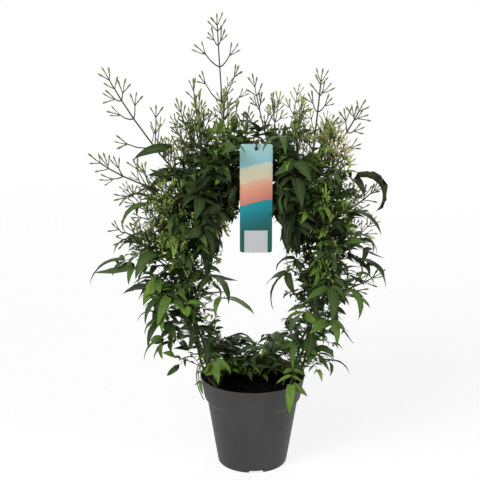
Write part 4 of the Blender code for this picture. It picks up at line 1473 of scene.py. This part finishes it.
# Bare stems that trail over the rim on the left, and their radii
TRAILERS = [
    [
        (-0.0520, -0.002, 0.134), (-0.0630, -0.006, 0.146), (-0.0722, -0.010, 0.140),
        (-0.0745, -0.013, 0.126), (-0.0730, -0.015, 0.113), (-0.0690, -0.017, 0.102),
        (-0.0650, -0.018, 0.094),
    ],
    [
        (-0.0500, 0.004, 0.132), (-0.0600, 0.002, 0.141), (-0.0690, -0.002, 0.138),
        (-0.0720, -0.004, 0.127), (-0.0710, -0.006, 0.113), (-0.0675, -0.008, 0.100),
    ],
]
TRAILER_RADII = (0.0010, 0.0006)


def smooth_route(points, steps=4):
    """A smooth line through the points, with some steps between each two."""
    route = [Vector(p) for p in points]
    route = [2 * route[0] - route[1]] + route + [2 * route[-1] - route[-2]]
    line = []
    for a, b, c, d in zip(route, route[1:], route[2:], route[3:]):
        square = 2 * a - 5 * b + 4 * c - d
        cube = 3 * b - a - 3 * c + d
        for t in (i / steps for i in range(steps)):
            line.append(b + (c - a) * t / 2 + square * t ** 2 / 2 + cube * t ** 3 / 2)
    return line + [route[-2]]


def grow_mouth(spray, side, seed):
    """Leaves that lean over the back of the pot's mouth."""
    draw = random.Random(seed)
    for _ in range(MOUTH_LEAVES):
        heading = draw.uniform(*MOUTH_HEADINGS[side])
        values = drawn(draw, MOUTH_LEAF)
        place = foothold(side, values.pop("place"), heading)
        grow_leaf(spray, *place, heading, pairs=draw.choice((2, 3)), free=True, **values)


def grow_band(spray, side, low, high, seed):
    """All leaves of a side between two places up the hoop, and the nodes they stand for."""
    nodes = []
    for name, node, place, growth in rows_of(SHOOTS, "shoot", leaf_plan, leaflet_tips, side, low, high):
        nodes.append(node)
        tone = TONES.get(name, 0.1 + 0.4 * spray.draw.random())
        if name in FINER:
            growth[-2:] = FINER[name]
        grow_leaf(spray, *place, *growth, tone=tone, free=True, end_form=END_FORMS.get(name))
    fill_leaves(spray, side, low, high, seed * 7)
    if low == 0.0:
        grow_mouth(spray, side, seed * 11)
    if low == 0.0 and side == "left":
        for route in TRAILERS:
            spray.stalk(smooth_route(route), *TRAILER_RADII)
    for row_side, place, heading, *growth, tone in FRONT_LEAVES:
        if row_side == side and low <= place < high:
            place = foothold(side, place, heading)
            grow_leaf(spray, *place, heading, *growth, tone=tone, free=True)
    return nodes


def make_foliage(finish):
    """The leaves: each piece holds the shoots and the other leaves of its band."""
    forms = collection_of("leaflets", LEAFLETS)
    for side, seeds in SEEDS.items():
        for (band, (low, high)), seed in zip(BANDS.items(), seeds):
            spray = Spray(seed)
            nodes = grow_band(spray, side, low, high, seed)
            spray.piece(f"foliage_{side}_{band}", forms, finish, "leaf", nodes, sides=4, seed=seed)


# Small panicles among the leaves. Each row: side, count, places up the hoop, headings, leans
# from upright, bare stems below, lengths, bud pairs, and how pale the buds are.
SMALL_PANICLES = [
    ("left", 13, (0.72, 0.92), (100, 290), (0, 32), (0.020, 0.052), (0.050, 0.072), (1, 2), (0.1, 0.7)),
    ("left", 3, (0.87, 0.99), (60, 300), (10, 34), (0.010, 0.030), (0.045, 0.060), (1, 2), (0.3, 0.8)),
    ("left", 12, (0.44, 0.66), (150, 290), (35, 75), (0, 0), (0.060, 0.100), (2, 3), (0.10, 0.38)),
    ("left", 9, (0.40, 0.58), (190, 290), (20, 60), (0, 0), (0.055, 0.085), (2, 3), (0.30, 0.52)),
    ("left", 9, (0.56, 0.74), (215, 285), (35, 80), (0, 0), (0.050, 0.078), (2, 3), (0.25, 0.48)),
    ("left", 5, (0.62, 0.80), (-70, 10), (70, 125), (0, 0), (0.050, 0.080), (2, 3), (0.0, 0.3)),
    ("right", 9, (0.74, 0.99), (240, 470), (0, 30), (0.015, 0.045), (0.045, 0.066), (1, 2), (0.1, 0.8)),
    ("right", 14, (0.42, 0.70), (260, 380), (30, 70), (0, 0), (0.055, 0.090), (2, 3), (0.30, 0.60)),
    ("right", 16, (0.725, 0.765), (322, 384), (6, 24), (0.030, 0.052), (0.044, 0.058), (2, 3), (0.9, 1.0)),
]


def make_panicles(finish):
    """The bud sprays in two pieces, with small ones among the leaves."""
    forms = collection_of("buds", BUDS)
    for side, seed in (("left", 21), ("right", 22)):
        spray = Spray(seed)
        nodes = []
        for _, node, place, growth in rows_of(PANICLES, "panicle", panicle_plan, branch_tips, side):
            nodes.append(node)
            sides = SIDES_PER_PAIR * growth[-1] if growth[1] > SIDES_FROM else 0
            grow_panicle(spray, *place, *growth, 0.15, sides=sides)
        draw = random.Random(seed)
        for row_side, count, (low, high), headings, leans, bares, *growth, tones in SMALL_PANICLES:
            for i in range(count if row_side == side else 0):
                place = low + (high - low) * (i + draw.random()) / count
                heading = draw.uniform(*headings)
                root, outward = foothold(side, place, heading)
                lean = draw.uniform(*leans)
                if bares[1] > 0:
                    top = root + compass(heading, 90 - lean) * draw.uniform(*bares)
                    spray.stalk([root, top], BRANCH_STALK, BRANCH_STALK * 0.9)
                    root = top
                length, pairs = draw.uniform(*growth[0]), draw.choice(growth[1])
                tone = draw.uniform(*tones)
                grow_panicle(spray, root, outward, heading, lean, length, pairs, tone, SMALL_BUD)
        name = f"bud_sprays_{side}"
        spray.piece(name, forms, finish, "bud", nodes, sides=4, change=0.05, seed=seed)


def make_stems(finish):
    """The climbing stems, swollen a little at their leaf nodes, and the runners."""
    none = collection_of("nothing", LEAFLETS[:1])
    for side, stems in STEMS.items():
        spray = Spray(31)
        nodes = []
        for number, stem in enumerate(stems, 1):
            nodes.append(f"climber_{side}_{number}")
            start = -STEM_DEPTH / HALF_LENGTH
            first = len(spray.points)
            places = [start + (stem[1] - start) * i / (STEM_RINGS - 1) for i in range(STEM_RINGS)]
            found = [climber_at(side, stem, place) for place in places]
            spray.stalk([point for point, _, _ in found], STEM_RADIUS, STEM_TIP_RADIUS)
            for i, place in enumerate(places):
                swell = max(0.0, cos(2 * pi * place / NODE_SWELLING)) ** 8
                spray.thickness[first + i] = found[i][2] * (0.92 + 0.28 * swell)
        spray.piece(f"climbing_stems_{side}", none, finish, "stem_bark", nodes, sides=9)
    spray = Spray(33)
    foot = PEAT_TOP - RUNNER_DEPTH
    for half_span, depth, height in RUNNERS.values():
        points = []
        for i in range(41):
            angle = pi * i / 40
            rise = (height - foot) * sqrt(max(0.0, sin(angle)))
            points.append(Vector((-half_span * cos(angle), depth, foot + rise)))
        spray.stalk(points, RUNNER_RADIUS, RUNNER_RADIUS)
    spray.piece("runners", none, finish, "stem_bark", list(RUNNERS), sides=8)


# ------------------------------------------------------------- hoop, tag and tie


def make_hoop(finish):
    """The hoop: one wire from the foot of one leg to the foot of the other."""
    halves = []
    for side in ("left", "right"):
        foot, way = hoop_at(side, 0)
        leg = [foot - way * ROD_DEPTH, foot - way * ROD_DEPTH / 2]
        halves.append(leg + [hoop_at(side, i / 90)[0] for i in range(91)])
    left, right = halves
    hoop = add_form("wire_hoop", tube(left[:-1] + right[::-1], ROD_RADIUS, 14), finish)
    shade(hoop)
    place_piece(hoop, "hoop_wire", "hoop")


def make_tag(finish):
    """The tag: thin card with round corners and a hole, curled a little across its width."""
    low, high, corner = TAG_LOW, TAG_HIGH, TAG_CORNER
    middle, half = (low.x + high.x) / 2, (high.x - low.x) / 2
    tall = high.z - low.z
    inner, top, foot = half - corner, high.z - corner, low.z + corner
    corners = []
    for quarter, (x, z) in enumerate(((inner, top), (-inner, top), (-inner, foot), (inner, foot))):
        for i in range(7):
            angle = (quarter + i / 6) * pi / 2
            corners.append((middle + x + corner * cos(angle), low.y, z + corner * sin(angle)))
    bm = bmesh.new()
    face = bm.faces.new([bm.verts.new(c) for c in corners])
    moved = bmesh.ops.extrude_face_region(bm, geom=[face])["geom"]
    verts = [v for v in moved if isinstance(v, bmesh.types.BMVert)]
    bmesh.ops.translate(bm, verts=verts, vec=(0, high.y - low.y, 0))
    bmesh.ops.recalc_face_normals(bm, faces=bm.faces)
    tag = add_form("printed_tag", bm, finish)

    bm = bmesh.new()
    place = Matrix.Translation((middle, low.y, high.z - TAG_HOLE_DROP)) @ Matrix.Rotation(pi / 2, 4, "X")
    sizes = {"radius1": TAG_HOLE, "radius2": TAG_HOLE, "depth": 0.01}
    bmesh.ops.create_cone(bm, cap_ends=True, segments=32, matrix=place, **sizes)
    cut_out(tag, [add_form("punch", bm, finish)])

    bm = bmesh.new()
    bm.from_mesh(tag.data)
    cuts = [((low.x + 2 * half * k / 10, 0, 0), (1, 0, 0)) for k in range(1, 10)]
    cuts += [((0, 0, low.z + tall * k / 20), (0, 0, 1)) for k in range(1, 20)]
    for point, square in cuts:
        geom = bm.verts[:] + bm.edges[:] + bm.faces[:]
        bmesh.ops.bisect_plane(bm, geom=geom, plane_co=point, plane_no=square)
    for vert in bm.verts:
        part = (vert.co.x - middle) / half
        down = (high.z - vert.co.z) / tall
        vert.co.y += TAG_CURL * part * part * down + TAG_BELLY * sin(down * pi) * down
    bmesh.ops.triangulate(bm, faces=[f for f in bm.faces if len(f.verts) > 4])
    bm.to_mesh(tag.data)
    bm.free()
    shade(tag)
    place_piece(tag, "tag_print", "hang_tag")


def make_tie(finish):
    """The tie: a loop through the tag's hole and round the top of the hoop."""
    low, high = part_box("tag_tie")
    front, rear = low.y + TIE_RADIUS, high.y - TIE_RADIUS
    middle_y, half_y = (front + rear) / 2, (rear - front) / 2
    mean, change = (TIE_REAR_HALF + TIE_FRONT_HALF) / 2, (TIE_REAR_HALF - TIE_FRONT_HALF) / 2
    meets = ((TAG_LOW.y + TAG_HIGH.y) / 2 - middle_y) / half_y
    half_there = (mean + change * meets) * sqrt(1 - meets * meets)
    rear_there = (1 + meets) / 2
    front_z = (TAG_HIGH.z - TAG_HOLE_DROP + half_there - HOOP_TOP * rear_there) / (1 - rear_there)
    points = []
    for angle in turns(96):
        level = front_z + (HOOP_TOP - front_z) * (1 + cos(angle)) / 2
        height = level + (mean + change * cos(angle)) * sin(angle)
        points.append(Vector(((low.x + high.x) / 2, middle_y + half_y * cos(angle), height)))
    tie = add_form("tie_loop", tube(points, TIE_RADIUS * 0.95, 10, closed=True), finish)
    shade(tie)
    place_piece(tie, "tie_cord", "tag_tie")


# ------------------------------------------------------------------------ stage

AIM = Vector((0, 0, 0.28))  # the point that all lamps face
LAMPS = {  # name: place, width of the lamp, power
    "key": ((-0.8, -1.2, 1.5), 0.9, 24),
    "fill": ((1.3, -1.0, 0.8), 1.0, 7.5),
    "rear": ((0.3, 1.4, 1.4), 1.2, 7),
}
SURROUND_LIGHT = 0.09  # how brightly the white surround lights the plant
CAMERA_PLACE = (-0.0168, -1.675, 0.784)
CAMERA_TILT = radians(74.2)
CAMERA_LENS = 100.3  # in millimetres, on a sensor 36 mm wide


def make_floor():
    """A pale floor that keeps a soft shadow and turns white with distance."""
    bm = bmesh.new()
    bmesh.ops.create_grid(bm, x_segments=1, y_segments=1, size=6)
    m = Finish("floor", Roughness=0.9, Specular_IOR_Level=0.1, Base_Color=(0.88, 0.88, 0.88))
    far = m.vector_math("LENGTH", {0: m.place()}, "Value").between(0.3, 2.2)
    white = m.mix(far, (1.18, 1.18, 1.18), (1.0, 1.0, 1.0))
    glow = m.node("ShaderNodeEmission", None, {"Color": white, "Strength": 1.0})
    shown = m.light_seen() * (0.7 + far * 0.3)
    lit = Socket(m, m.shader.outputs[0])
    mixed = m.node("ShaderNodeMixShader", None, {0: shown, 1: lit, 2: glow})
    m.feed(m.tree.nodes["Material Output"].inputs["Surface"], mixed)
    floor = add_form("floor", bm, m.material)


def make_surround():
    """White all round where it is seen, and a faint even light on the plant."""
    world = bpy.data.worlds.new("surround")
    bpy.context.scene.world = world
    world.use_nodes = True
    g = Graph(world.node_tree)
    back = g.tree.nodes["Background"]
    g.feed(back.inputs["Color"], (1.0, 1.0, 1.0))
    g.feed(back.inputs["Strength"], SURROUND_LIGHT + g.light_seen() * (1 - SURROUND_LIGHT))


def make_lamps():
    """Three soft lamps: high on the left in front, low on the right, and behind."""
    for name, (place, size, power) in LAMPS.items():
        lamp = bpy.data.lights.new(name, "AREA")
        lamp.size = size
        lamp.energy = power
        obj = add_to_scene(name, lamp)
        obj.location = place
        obj.rotation_euler = (AIM - Vector(place)).to_track_quat("-Z", "Y").to_euler()


def make_camera():
    """A long lens a little above the plant, looking slightly down."""
    data = bpy.data.cameras.new("camera")
    data.sensor_width = 36
    data.lens = CAMERA_LENS
    camera = add_to_scene("camera", data)
    camera.location = CAMERA_PLACE
    camera.rotation_euler = (CAMERA_TILT, 0, 0)
    bpy.context.scene.camera = camera


# ------------------------------------------------------------------ the whole plant

make_camera()
make_pot(pot_plastic())
make_peat(peat())
make_hoop(hoop_wire())
make_stems(stem_bark())
make_foliage(leaf())
make_panicles(bud())
make_tag(tag_print())
make_tie(tie_cord())
make_floor()
make_surround()
make_lamps()
bpy.context.scene.view_settings.view_transform = "Standard"
